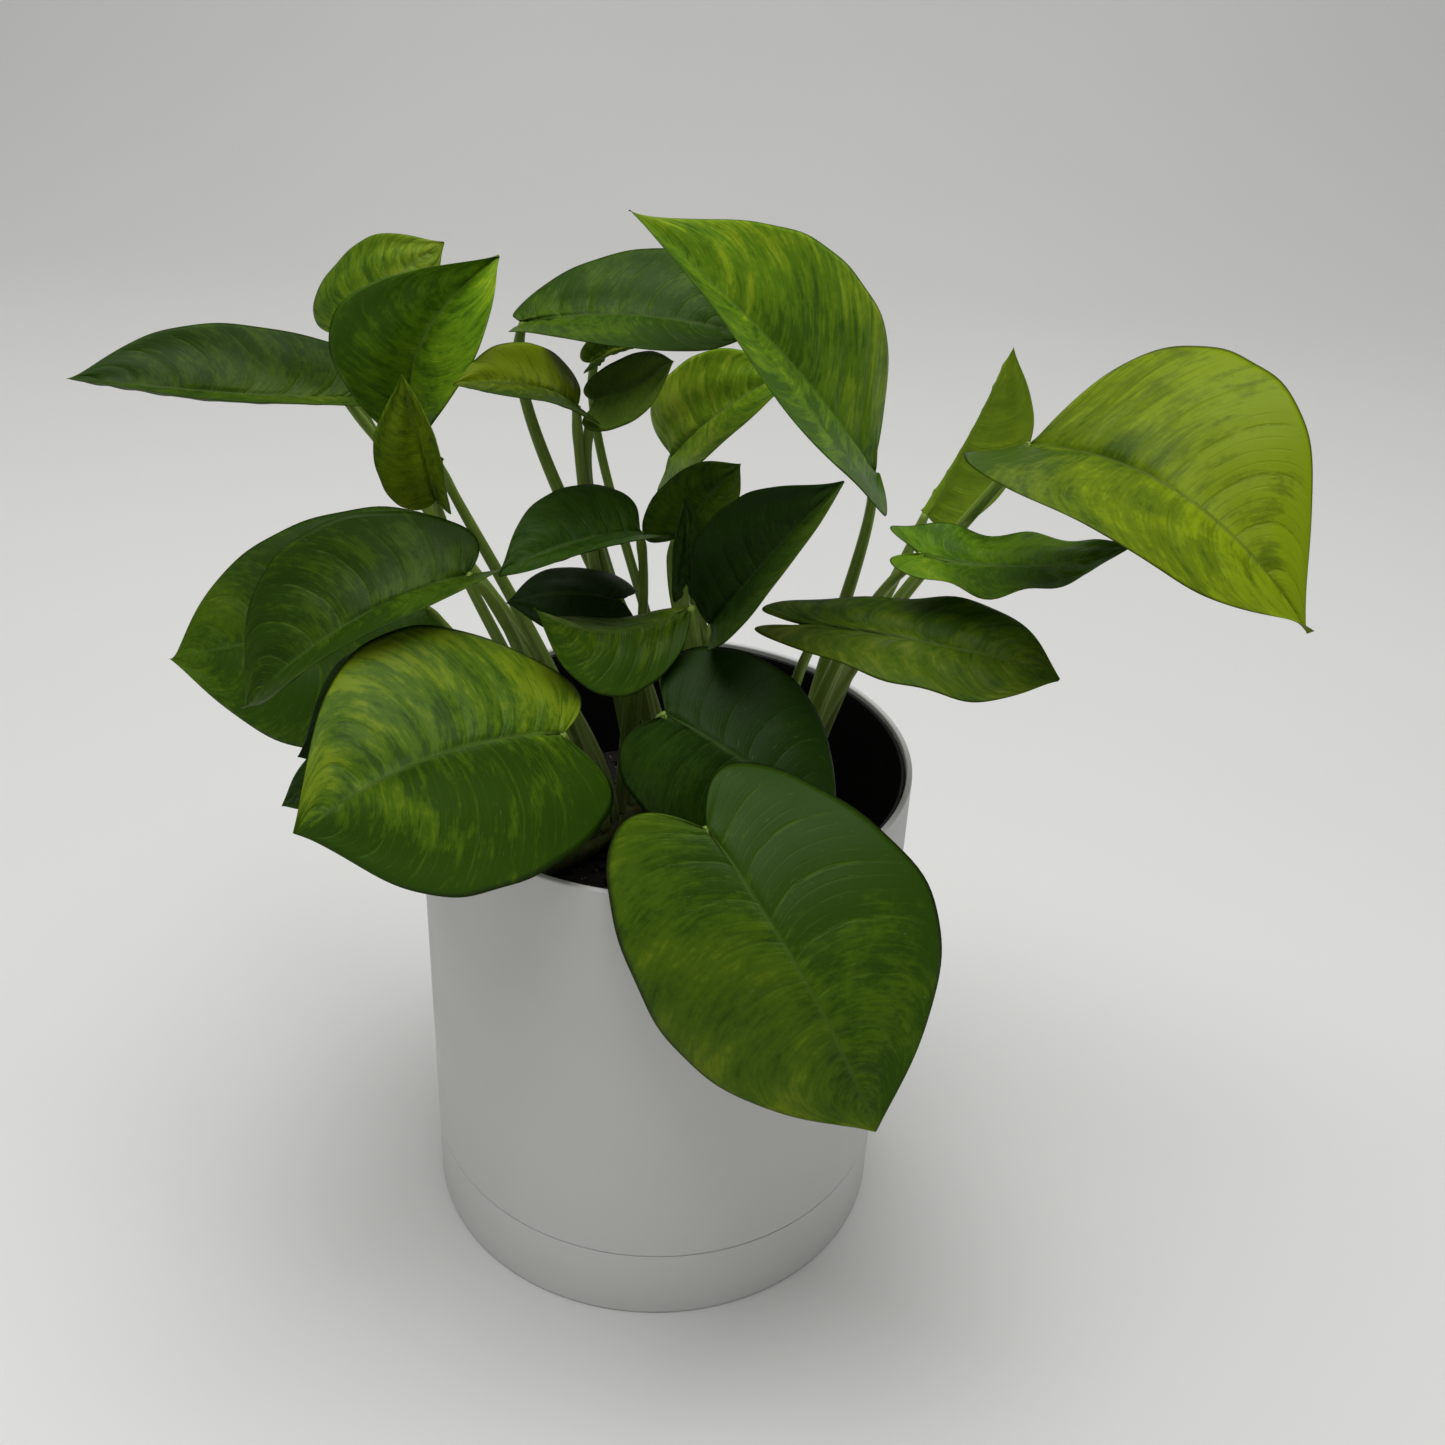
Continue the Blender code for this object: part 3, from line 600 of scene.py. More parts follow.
def vector_of(tree, x, y, z):
    return add_node(tree, "ShaderNodeCombineXYZ", x, y, z).outputs[0]


def parts_of(tree, vector):
    return add_node(tree, "ShaderNodeSeparateXYZ", vector).outputs


def fact_of(tree, name):
    return add_node(tree, "ShaderNodeAttribute", attribute_name=name,
                    attribute_type="GEOMETRY").outputs["Vector"]


def object_place(tree):
    return tree.nodes.new("ShaderNodeTexCoord").outputs["Object"]


def new_group(name, inputs, outputs):
    """An empty node group with named sockets. Returns the tree and its two ends."""
    tree = bpy.data.node_groups.new(name, "ShaderNodeTree")
    for label, kind in inputs.items():
        tree.interface.new_socket(name=label, in_out="INPUT", socket_type="NodeSocket" + kind)
    for label, kind in outputs.items():
        tree.interface.new_socket(name=label, in_out="OUTPUT", socket_type="NodeSocket" + kind)
    return tree, tree.nodes.new("NodeGroupInput").outputs, tree.nodes.new("NodeGroupOutput")


def use_group(tree, group, **values):
    """Places a group and fills its inputs by name, with _ for a space."""
    made = tree.nodes.new("ShaderNodeGroup")
    made.node_tree = group
    for label, value in values.items():
        plug(tree, made.inputs[label.replace("_", " ")], value)
    return made.outputs


def new_material(name, roughness=0.5, **fixed):
    """A material with a bare Principled shader. fixed sets its plain sockets by name."""
    made = bpy.data.materials.new(name)
    made.use_nodes = True
    shader = made.node_tree.nodes["Principled BSDF"]
    shader.inputs["Roughness"].default_value = roughness
    for label, value in fixed.items():
        shader.inputs[label.replace("_", " ")].default_value = value
    return made, made.node_tree, shader


def dress(tree, shader, colour, roughness, height, strength, distance):
    """Fills a shader's colour and roughness, and bumps it by a height."""
    plug(tree, shader.inputs["Base Color"], colour)
    plug(tree, shader.inputs["Roughness"], roughness)
    bump = tree.nodes.new("ShaderNodeBump")
    bump.inputs["Strength"].default_value = strength
    bump.inputs["Distance"].default_value = distance
    plug(tree, bump.inputs["Height"], height)
    plug(tree, shader.inputs["Normal"], bump.outputs[0])


def blade_colour_group():
    """Variegation, veins and surface of a pothos blade.

    A coarse noise over the blade, a noise stretched along the lateral veins, and shifts towards
    one half and towards the tip add up to one value. The shift towards one half also serves as
    painted shade on a half that hangs down. Low values are dark green, middle ones green, high
    ones pale.
    """
    tree, given, result = new_group("Pothos Blade", {
        "Blade": "Vector", "Spot": "Vector", "Seed": "Float", "Dark": "Color",
        "Middle": "Color", "Pale": "Color", "Underside": "Color", "Amount": "Float",
        "Streak": "Float", "To Left": "Float", "To Tip": "Float"},
        {"Color": "Color", "Roughness": "Float", "Height": "Float"})
    share, run, under = parts_of(tree, given["Blade"])
    across, along, vein = parts_of(tree, given["Spot"])
    reach = maths(tree, "ABSOLUTE", share)
    seed = given["Seed"]

    patches = noise(tree, vector_of(tree, across, along, seed), 34.0, 3.0, 0.55, 0.8)
    fibres = noise(tree, vector_of(tree, maths(tree, "MULTIPLY", vein, 26.0),
                                   maths(tree, "MULTIPLY", share, 2.2), seed),
                   1.0, 4.0, 0.62, 0.3)
    threads = noise(tree, vector_of(tree, maths(tree, "MULTIPLY", vein, 90.0),
                                    maths(tree, "MULTIPLY", share, 7.0), seed), 1.0, 3.0, 0.6)
    value = sway_by(tree, given["Amount"], patches, 1.0)
    value = sway_by(tree, value, fibres, given["Streak"])
    # Shifts the colour towards one half. On some blades this is painted shade on a half that hangs
    # down.
    value = maths(tree, "ADD", value, maths(tree, "MULTIPLY", share, given["To Left"]))
    value = sway_by(tree, value, run, given["To Tip"])
    value = sway_by(tree, value, threads, 0.45)
    flecks = noise(tree, vector_of(tree, across, along, seed), 420.0, 3.0, 0.65)
    value = sway_by(tree, value, flecks, 0.35)

    colour = blend_colour(tree, rise(tree, value, 0.18, 0.50), given["Dark"],
                          given["Middle"])
    colour = blend_colour(tree, rise(tree, value, 0.46, 0.80), colour, given["Pale"])

    lines = maths(tree, "FRACT", maths(tree, "MULTIPLY", vein, LATERAL_VEINS))
    lines = maths(tree, "ABSOLUTE", maths(tree, "SUBTRACT", lines, 0.5))
    main_lines = rise(tree, lines, 0.440, 0.492)
    fine = maths(tree, "FRACT", maths(tree, "MULTIPLY", vein, LATERAL_VEINS * 4))
    fine = maths(tree, "ABSOLUTE", maths(tree, "SUBTRACT", fine, 0.5))
    fine_lines = maths(tree, "MULTIPLY", rise(tree, fine, 0.36, 0.49), 0.35)
    net = maths(tree, "MAXIMUM", main_lines, fine_lines)
    net = maths(tree, "MULTIPLY", net, rise(tree, threads, 0.30, 0.62))
    inner = rise(tree, reach, 0.98, 0.70)
    net = maths(tree, "MULTIPLY", net, inner)
    colour = blend_colour(tree, maths(tree, "MULTIPLY", net, 0.55), colour, given["Middle"])
    furrow = rise(tree, maths(tree, "ABSOLUTE", across), 0.0009, 0.0002)
    furrow = maths(tree, "MULTIPLY", furrow, rise(tree, run, 1.0, 0.75))
    colour = blend_colour(tree, maths(tree, "MULTIPLY", furrow, 0.55), colour,
                          given["Underside"])

    edge = rise(tree, reach, 0.975, 0.998)
    colour = blend_colour(tree, maths(tree, "MULTIPLY", edge, 0.5), colour,
                          (0.020, 0.028, 0.004))
    dust = noise(tree, given["Spot"], 900.0, 2.0, 0.6)
    specks = noise(tree, given["Spot"], 260.0, 3.0, 0.7)
    scuff = maths(tree, "MULTIPLY", rise(tree, specks, 0.64, 0.74), 0.22)
    colour = blend_colour(tree, scuff, colour, (0.30, 0.34, 0.14))
    colour = blend_colour(tree, maths(tree, "MULTIPLY", under, 0.62), colour,
                          given["Underside"])

    rough = maths(tree, "ADD", 0.34, maths(tree, "MULTIPLY", specks, 0.22))
    rough = maths(tree, "ADD", rough, maths(tree, "MULTIPLY", under, 0.16))
    height = maths(tree, "SUBTRACT", maths(tree, "MULTIPLY", dust, 0.25), net)
    height = maths(tree, "ADD", height, maths(tree, "MULTIPLY", fibres, 0.35))
    plug(tree, result.inputs["Color"], colour)
    plug(tree, result.inputs["Roughness"], rough)
    plug(tree, result.inputs["Height"], height)
    return tree


def skin_wear_group():
    """Faint clouds, specks and fine grain for moulded and grown surfaces."""
    tree, given, result = new_group("Surface Wear", {
        "Place": "Vector", "Base": "Color", "Worn": "Color", "Cloud Scale": "Float",
        "Speck Amount": "Float"},
        {"Color": "Color", "Grain": "Float"})
    clouds = tree.nodes.new("ShaderNodeTexNoise")
    clouds.inputs["Detail"].default_value = 4.0
    plug(tree, clouds.inputs["Vector"], given["Place"])
    plug(tree, clouds.inputs["Scale"], given["Cloud Scale"])
    grain = noise(tree, given["Place"], 1600.0, 3.0, 0.6)
    specks = rise(tree, noise(tree, given["Place"], 420.0, 2.0, 0.5), 0.68, 0.78)
    share = maths(tree, "MULTIPLY", specks, given["Speck Amount"])
    share = maths(tree, "ADD", share,
                  rise(tree, clouds.outputs[0], 0.42, 0.75, 0.0, 0.5), clamp=True)
    plug(tree, result.inputs["Color"], blend_colour(tree, share, given["Base"],
                                                    given["Worn"]))
    plug(tree, result.inputs["Grain"], grain)
    return tree


def shared_group(name, build):
    return bpy.data.node_groups.get(name) or build()


def blade_material(name, tint):
    finish, tree, shader = new_material("blade_" + name, IOR=1.40, Specular_IOR_Level=0.14)
    # The finish's colours are scaled by the leaf's brightness factor, which is partly the leaf's
    # own shade and partly painted light and shade.
    dark, middle, pale, underside = (
        tuple(tint.tone * part for part in colour) for colour in FINISHES[tint.finish])
    made = use_group(tree, shared_group("Pothos Blade", blade_colour_group),
                     Blade=fact_of(tree, "blade"), Spot=fact_of(tree, "spot"),
                     Seed=tint.seed, Dark=dark, Middle=middle, Pale=pale,
                     Underside=underside, Amount=tint.amount, Streak=tint.streak,
                     To_Left=tint.to_left, To_Tip=tint.to_tip)
    dress(tree, shader, made["Color"],
          made["Roughness"], made["Height"], 0.55, 0.25 * MM)
    return finish


def stalk_material(colour, sheath_colour):
    """Green stalk with pale sheath edges and a paler foot, streaked along its length."""
    finish, tree, shader = new_material("stalk_skin", IOR=1.40, Specular_IOR_Level=0.3)
    run, wing, turn = parts_of(tree, fact_of(tree, "stem"))
    place = object_place(tree)
    wear = use_group(tree, shared_group("Surface Wear", skin_wear_group), Place=place,
                     Base=tuple(colour), Worn=tuple(0.55 * c for c in colour),
                     Cloud_Scale=60.0, Speck_Amount=0.3)
    threads = noise(tree, vector_of(tree, maths(tree, "MULTIPLY", turn, 26.0),
                                    maths(tree, "MULTIPLY", run, 3.0), 0.0), 1.0, 3.0, 0.6)
    skin = blend_colour(tree, rise(tree, run, 0.45, 0.0, 0.0, 0.55), wear["Color"],
                        tuple(sheath_colour))
    skin = blend_colour(tree, maths(tree, "MULTIPLY", rise(tree, threads, 0.45, 0.7), 0.35),
                        skin, tuple(1.5 * c for c in colour))
    skin = blend_colour(tree, maths(tree, "MULTIPLY", wing, 0.85), skin,
                        tuple(sheath_colour))
    dress(tree, shader, skin,
          rise(tree, threads, 0.2, 0.8, 0.36, 0.55), threads, 0.35, 0.3 * MM)
    return finish


def runner_material():
    """Green-brown skin of the creeping stems, browner at every joint."""
    finish, tree, shader = new_material("runner_skin", IOR=1.42)
    run, joint, turn = parts_of(tree, fact_of(tree, "stem"))
    place = object_place(tree)
    wear = use_group(tree, shared_group("Surface Wear", skin_wear_group), Place=place,
                     Base=(0.075, 0.105, 0.020), Worn=(0.10, 0.075, 0.030),
                     Cloud_Scale=120.0, Speck_Amount=0.7)
    bark = noise(tree, vector_of(tree, maths(tree, "MULTIPLY", turn, 20.0),
                                 maths(tree, "MULTIPLY", run, 26.0), 0.0), 1.0, 4.0, 0.65)
    skin = blend_colour(tree, maths(tree, "MULTIPLY", joint, 0.8), wear["Color"],
                        (0.115, 0.070, 0.030))
    dress(tree, shader, skin,
          rise(tree, bark, 0.2, 0.8, 0.55, 0.8), bark, 0.6, 0.5 * MM)
    return finish


def pot_material(colour):
    """Matte white plastic with a fine satin grain, faint smudges and scuffs."""
    finish, tree, shader = new_material("pot_white", IOR=1.46)
    place = object_place(tree)
    wear = use_group(tree, shared_group("Surface Wear", skin_wear_group), Place=place,
                     Base=tuple(colour), Worn=tuple(0.94 * c for c in colour),
                     Cloud_Scale=14.0, Speck_Amount=0.12)
    smudges = noise(tree, place, 30.0, 3.0, 0.6, 0.8)
    dress(tree, shader, wear["Color"],
          rise(tree, smudges, 0.3, 0.7, 0.42, 0.56), wear["Grain"], 0.12, 0.06 * MM)
    return finish


def liner_material(colour):
    """Thin black plastic with a dull sheen, dusty in places."""
    finish, tree, shader = new_material("liner_black", IOR=1.45, Specular_IOR_Level=0.2)
    place = object_place(tree)
    wear = use_group(tree, shared_group("Surface Wear", skin_wear_group), Place=place,
                     Base=tuple(colour), Worn=(0.012, 0.011, 0.010), Cloud_Scale=45.0,
                     Speck_Amount=0.5)
    dress(tree, shader, wear["Color"],
          rise(tree, wear["Grain"], 0.2, 0.8, 0.38, 0.58), wear["Grain"], 0.25, 0.12 * MM)
    return finish


def soil_material(name, dark, brown, pale_share):
    """Dark crumbs and fibres. pale_share is how much of it is pale grit."""
    finish, tree, shader = new_material(name, IOR=1.4)
    place = object_place(tree)
    crumbs = noise(tree, place, 380.0, 5.0, 0.7, 0.4)
    clods = noise(tree, place, 90.0, 3.0, 0.6)
    cells = add_node(tree, "ShaderNodeTexVoronoi", place)
    cells.inputs["Scale"].default_value = 420.0
    grit = rise(tree, cells.outputs["Distance"], 0.16, 0.10, 0.0, pale_share)
    colour = blend_colour(tree, rise(tree, crumbs, 0.35, 0.68), dark, brown)
    colour = blend_colour(tree, rise(tree, clods, 0.45, 0.75, 0.0, 0.6), colour, dark)
    colour = blend_colour(tree, grit, colour, (0.32, 0.30, 0.26))
    dress(tree, shader, colour,
          rise(tree, crumbs, 0.2, 0.8, 0.80, 0.98), crumbs, 0.9, 0.8 * MM)
    return finish


def floor_material(colour):
    """Smooth studio paper with a barely visible mottle."""
    finish, tree, shader = new_material("studio_paper", 0.8, Specular_IOR_Level=0.1)
    mottle = noise(tree, object_place(tree), 3.0, 3.0, 0.5)
    colour = tuple(colour)
    plug(tree, shader.inputs["Base Color"],
         blend_colour(tree, rise(tree, mottle, 0.3, 0.7), colour,
                      tuple(0.985 * c for c in colour)))
    return finish


# ---------------------------------------------------------------- leaves

def blade_frame(leaf):
    """The blade's base point, its axis, its left-hand and upper directions, its length."""
    base = np.array(leaf.base, float)
    axis = np.array(leaf.tip, float) - base
    base[:2] *= SPREAD
    base[2] += POT_HIGH.z / MM
    length = np.linalg.norm(axis)
    axis /= length
    face = np.array(leaf.face, float)
    upper = unit(face - face.dot(axis) * axis)
    return base, axis, np.cross(upper, axis), upper, length


def heart_outline(leaf, run, share):
    """Flat heart in mm: how far along the midrib, as a share, and how far across.

    The half width is a sine over the run, skewed so that it peaks at the bulge and drawn
    out towards the tip. The margin starts at the base, swings back by the lobe and ends at
    the tip, and a point inside lies its share of the way from the midrib to the margin.
    """
    margin_along = run - leaf.lobe * np.sin(pi * run) * (1 - run) ** 2
    skewed = run ** (np.log(0.5) / np.log(leaf.bulge))
    margin_across = leaf.width / 2 * np.sin(pi * skewed) ** HEART_FULLNESS
    margin_across = margin_across * (1 - TIP_NARROWING * run**6)
    uneven = 1 + 0.010 * np.sin(17 * run + leaf.width) + 0.006 * np.sin(41 * run - leaf.width)
    along = run + np.abs(share) * (margin_along - run)
    return along, share * margin_across * uneven


def bend_blade(leaf, along, across):
    """Bends flat blade points into the leaf's real shape.

    The midrib is a parabola, and each half swings about it through its fold and its curl.
    """
    base, axis, left, upper, length = blade_frame(leaf)
    hump = 4 * along * (1 - along)
    rise_up = leaf.arch * hump + leaf.hook * along**3 * (1 - along)
    slope = 4 * leaf.arch * (1 - 2 * along) + leaf.hook * (3 * along**2 - 4 * along**3)
    lean = np.arctan(slope / length)[..., None]
    normal = np.cos(lean) * upper - np.sin(lean) * axis
    reach = np.abs(across)
    share = reach / (leaf.width / 2)
    fold = np.where(across > 0, leaf.fold[0], leaf.fold[1])
    curl = np.where(across > 0, leaf.curl[0], leaf.curl[1])
    swing = np.radians(fold + curl * share / 2)
    lift = reach * np.sin(swing) + leaf.wave * share**2 * np.sin(5 * pi * along)
    spine = base + (along * length)[..., None] * axis + rise_up[..., None] * upper
    spine = spine + (leaf.sway * hump)[..., None] * left
    spread = (np.sign(across) * reach * np.cos(swing))[..., None] * left
    return spine + spread + lift[..., None] * normal


def blade_relief(leaf, seed, run, share, vein, ripple, vein_depth):
    """Height of the blade's surface over its smooth shape, in mm.

    Each lateral vein is a rounded furrow that fades before the margin, the blade bulges
    between the veins, and two slow waves lift and drop the margin.
    """
    reach = np.abs(share)
    phase = vein * LATERAL_VEINS
    from_vein = phase - np.round(phase)
    fade = (1 - reach**4) * np.clip(reach / 0.06, 0, 1) * np.clip((1 - run) / 0.15, 0, 1)
    furrow = -vein_depth * np.exp(-(from_vein / 0.13) ** 2) * fade
    waves = (np.sin(7.0 * run + seed + 1.5 * np.sign(share))
             + 0.6 * np.sin(15.0 * run - 2 * seed + 2.5 * np.sign(share)))
    swell = 0.6 * np.sin(9 * run + 3 * share + seed) * np.sin(6 * share - seed)
    return furrow + leaf.width * ripple * waves * reach**2.5 + swell * fade


def add_blade(name, leaf, tint, sizes):
    """A closed thin shell: rings of points go over the upper side and back underneath.

    Both skins follow the same bent heart. They part by the thickness, which runs out to
    nothing at the margin, and the midrib is a rounded keel on the lower skin.
    """
    rows, columns = sizes.rows, sizes.columns
    if leaf.width < 30:
        rows, columns = rows // 2, columns // 2
    step = np.linspace(0, 1, rows + 2)[1:-1]
    run = (0.5 - 0.5 * np.cos(pi * step))[:, None]
    line = np.linspace(-1, 1, 2 * columns + 1)[None, :]
    share = np.sign(line) * np.abs(line) ** 1.25
    along, across = heart_outline(leaf, run, share)
    vein = run - VEIN_SWEEP * np.abs(share) ** 1.4 + 0.5 / LATERAL_VEINS * (share > 0)
    run_all = run + 0 * share
    share_all = share + 0 * run
    middle = bend_blade(leaf, along, across)
    normal = np.cross(np.gradient(middle, axis=1), np.gradient(middle, axis=0))
    normal /= np.linalg.norm(normal, axis=2)[..., None] + 1e-12
    upper = blade_frame(leaf)[3]
    if (normal @ upper).mean() < 0:
        normal = -normal
    relief = blade_relief(leaf, tint.seed, run_all, share_all, vein, sizes.ripple,
                          sizes.vein_depth / MM)
    middle = middle + relief[..., None] * normal
    half = sizes.thickness / MM / 2 * np.sqrt(1 - share_all**8) * (1 - run_all**12)
    channel = 0.35 * np.exp(-(across / 0.8) ** 2) * (1 - run_all**2)
    keel = sizes.midrib_rise / MM * (1 - run_all) ** 0.8 * np.exp(-(across / 1.1) ** 2)
    upper_skin = middle + (half - channel)[..., None] * normal
    lower_skin = middle - (half + keel)[..., None] * normal
    inner = slice(1, -1)
    ring = np.concatenate([upper_skin, lower_skin[:, inner][:, ::-1]], axis=1)
    count = ring.shape[1]

    def round_trip(over, under):
        return np.concatenate([over, under[:, inner][:, ::-1]], axis=1)[..., None]

    below = np.zeros_like(run_all)
    blade = np.concatenate([round_trip(share_all, share_all), round_trip(run_all, run_all),
                            round_trip(below, below + 1)], axis=2)
    length = blade_frame(leaf)[4]
    spot = np.concatenate([
        round_trip(across * MM, across * MM),
        round_trip(along * length * MM, along * length * MM),
        round_trip(vein, vein)], axis=2)
    ends = bend_blade(leaf, np.array([0.0, 1.0]), np.zeros(2))
    points = np.concatenate([ring.reshape(-1, 3), ends]) * MM
    caps = end_caps(count, rows * count)
    facts = {
        "blade": np.concatenate([blade.reshape(-1, 3), [[0, 0, 0.5], [0, 1, 0.5]]]),
        "spot": np.concatenate([spot.reshape(-1, 3), [[0, 0, 0], [0, length * MM, 1]]])}
    piece = make_piece("blade_" + name, points, grid_quads(rows, count, False, True), caps,
                       facts)
    return settle(piece, blade_material(name, tint), "leaf_" + tint.finish, "leaf_" + name)


# ---------------------------------------------------------------- stalks and runners

def vine_point(vine, slot):
    """Place of a slot on a runner's axis, in mm. It wanders from side to side as a sine."""
    start, way = VINES[vine]
    way = unit(np.array(way, float))
    aside = np.array([-way[1], way[0]])
    slot = np.asarray(slot, float)[..., None]
    place = np.array(start) + way * VINE_SLOT * slot + aside * VINE_SWING * np.sin(VINE_BEND * slot)
    return np.concatenate([place * SPREAD, np.full(slot.shape, VINE_HEIGHT)], axis=-1)


def stalk_route(leaf, stalk, count):
    """A stalk's axis in mm: a cubic from the top of its runner into the blade's base.

    It starts upwards with its lean, and arrives along the blade and up its upper side.
    """
    base, axis, left, upper, length = blade_frame(leaf)
    onward = unit(axis + 4 * leaf.arch / length * upper + 4 * leaf.sway / length * left)
    outward = unit(upper - upper.dot(onward) * onward)
    below = outward if leaf.face[2] < FACE_DOWN else -outward
    end = base + below * STALK_DROP
    foot = vine_point(stalk.vine, stalk.slot)
    foot[2] += VINE_RADIUS - STALK_SINK
    span = np.linalg.norm(end - foot)
    leave = np.array([*stalk.lean, 0.0]) * LEAN_PULL + np.array([0.0, 0.0, LEAVE_PULL * span])
    onto = unit(onward + max(outward[2], 0.0) * outward + np.array([0.0, 0.0, stalk.climb]))
    run = np.linspace(0, 1, count)[:, None]
    return ((2 * run**3 - 3 * run**2 + 1) * foot + (run**3 - 2 * run**2 + run) * leave
            + (3 * run**2 - 2 * run**3) * end + (run**3 - run**2) * onto * ARRIVE_PULL * span)


def add_stalk(name, leaf, stalk, sizes, skin):
    """A round stalk with a channel between two thin sheath edges on its upper side.

    The radius tapers to the blade with a slight swelling just below it. The channel is a
    bell-shaped dip about the first angle, and the sheath edges are two narrow bells beside
    it that run out at half height.
    """
    rows, angles = 56, 28
    run = np.linspace(0, 1, rows)[:, None]
    turn = np.linspace(-pi, pi, angles, endpoint=False)[None, :]
    turn = np.roll(turn, angles // 2, axis=1)
    foot = STALK_FOOT_SCALE * stalk.radius
    radius = STALK_TIP_RADIUS + (foot - STALK_TIP_RADIUS) * (1 - run) ** STALK_TAPER
    radius = radius * (1 + 0.16 * np.exp(-((run - 0.93) / 0.035) ** 2))
    fade = np.clip((0.62 - run) / 0.25, 0, 1)
    wing = np.exp(-((np.abs(turn) - 0.72) / 0.16) ** 2) * fade
    dip = np.exp(-(turn / 0.5) ** 2) * np.clip((0.97 - run) / 0.2, 0, 1)
    ribs = 0.015 * np.sin(9 * turn + 4 * run)
    section = radius * (1 - sizes.channel * dip + sizes.wing * wing + ribs)
    stem = np.stack([run + 0 * turn, wing, turn / pi + 0 * run], axis=-1)
    route = stalk_route(leaf, stalk, rows)
    piece = tube_piece("petiole_" + name, route * MM, section * MM, {"stem": stem})
    return settle(piece, skin, "stalk", "stalk_" + name)


def add_runner(vine, skin):
    """A creeping stem: a fat tube with a ring-shaped joint and a scar under every stalk."""
    overrun = VINE_MARGIN / VINE_SLOT
    last = max(stalk.slot for stalk in STALKS.values() if stalk.vine == vine)
    rows, angles = 200, 32
    slots = np.linspace(-overrun, last + overrun, rows)
    turn = full_turn(angles)[None, :]
    ends = np.clip(np.minimum(slots + overrun, last + overrun - slots) / overrun, 0, 1)
    radius = (VINE_RADIUS - 0.25) * (0.5 + 0.5 * np.sqrt(ends)) - 0.3 * np.sin(pi * slots) ** 2
    joint = np.exp(-((slots - np.round(slots)) / 0.10) ** 2)[:, None]
    knobs = 0.10 * np.sin(5 * turn + 2.3 * slots[:, None])
    section = radius[:, None] + 0.22 * joint + knobs * np.sin(3.1 * slots[:, None])
    run = ((slots + overrun) / (last + 2 * overrun))[:, None]
    stem = np.stack([run + 0 * turn, joint + 0 * turn, turn / pi + 0 * run], axis=-1)
    piece = tube_piece("runner_" + vine, vine_point(vine, slots) * MM, section * MM,
                       {"stem": stem})
    return settle(piece, skin, "vine", "vine_" + vine)


# ---------------------------------------------------------------- operators

class PothosAddPot(bpy.types.Operator):
    """Adds the white pot, its saucer and the black grow pot as turned shells"""

    bl_idname = "pothos.add_pot"
    bl_label = "Pot, saucer and liner"

    def execute(self, context):
        sizes = context.scene.pothos_pot
        edge = sizes.edge
        white = pot_material(sizes.colour)
        outer, top, seat = POT_RADIUS, POT_HIGH.z, SAUCER_HIGH.z + JOINT_GAP * MM
        inner = outer - sizes.wall
        foot = outer - FOOT_INSET
        floor = seat + POT_FLOOR
        sleeve = rounded_outline([
            (DRAIN_RADIUS, seat, edge), (foot - RING_WALL, seat, 0),
            (foot - RING_WALL, POT_LOW.z, edge), (foot, POT_LOW.z, edge), (foot, seat, 0),
            (outer, seat, 0.35 * MM), (outer, top, 0.9 * MM), (inner, top, 0.8 * MM),
            (inner, floor, 2 * MM), (DRAIN_RADIUS, floor, edge)])
        settle(turned_piece("pot_sleeve", sleeve, sizes.steps), white, "pot_white", "pot")
        wall = outer - RING_WALL
        lip = SAUCER_HIGH.z
        dish = rounded_outline([
            (0, 0, 0), (outer, 0, 1.2 * MM), (outer, lip, 0.35 * MM), (wall, lip, edge),
            (wall, RING_WALL, 2 * MM), (0, RING_WALL, 0)])
        settle(turned_piece("pot_saucer", dish, sizes.steps), white, "pot_white", "saucer")
        self.add_liner(sizes)
        return {"FINISHED"}

    def add_liner(self, sizes):
        wide, top, low = LINER_HIGH.x, LINER_HIGH.z, LINER_LOW.z
        wall, edge = sizes.liner_wall, 0.3 * MM
        narrow, shoulder = wide - LINER_STEP, top - LINER_LIP
        liner = rounded_outline([
            (DRAIN_RADIUS, low, edge), (LINER_FOOT, low, 2 * MM), (narrow, shoulder, 0),
            (wide, shoulder, edge), (wide, top, 0.5 * MM), (wide - wall, top, 0.5 * MM),
            (narrow - wall, shoulder - wall, edge),
            (LINER_FOOT - wall, low + wall, 2 * MM), (DRAIN_RADIUS, low + wall, edge)])
        piece = turned_piece("liner", liner, sizes.steps)
        settle(piece, liner_material(sizes.liner_colour), "grow_pot_black", "grow_pot")


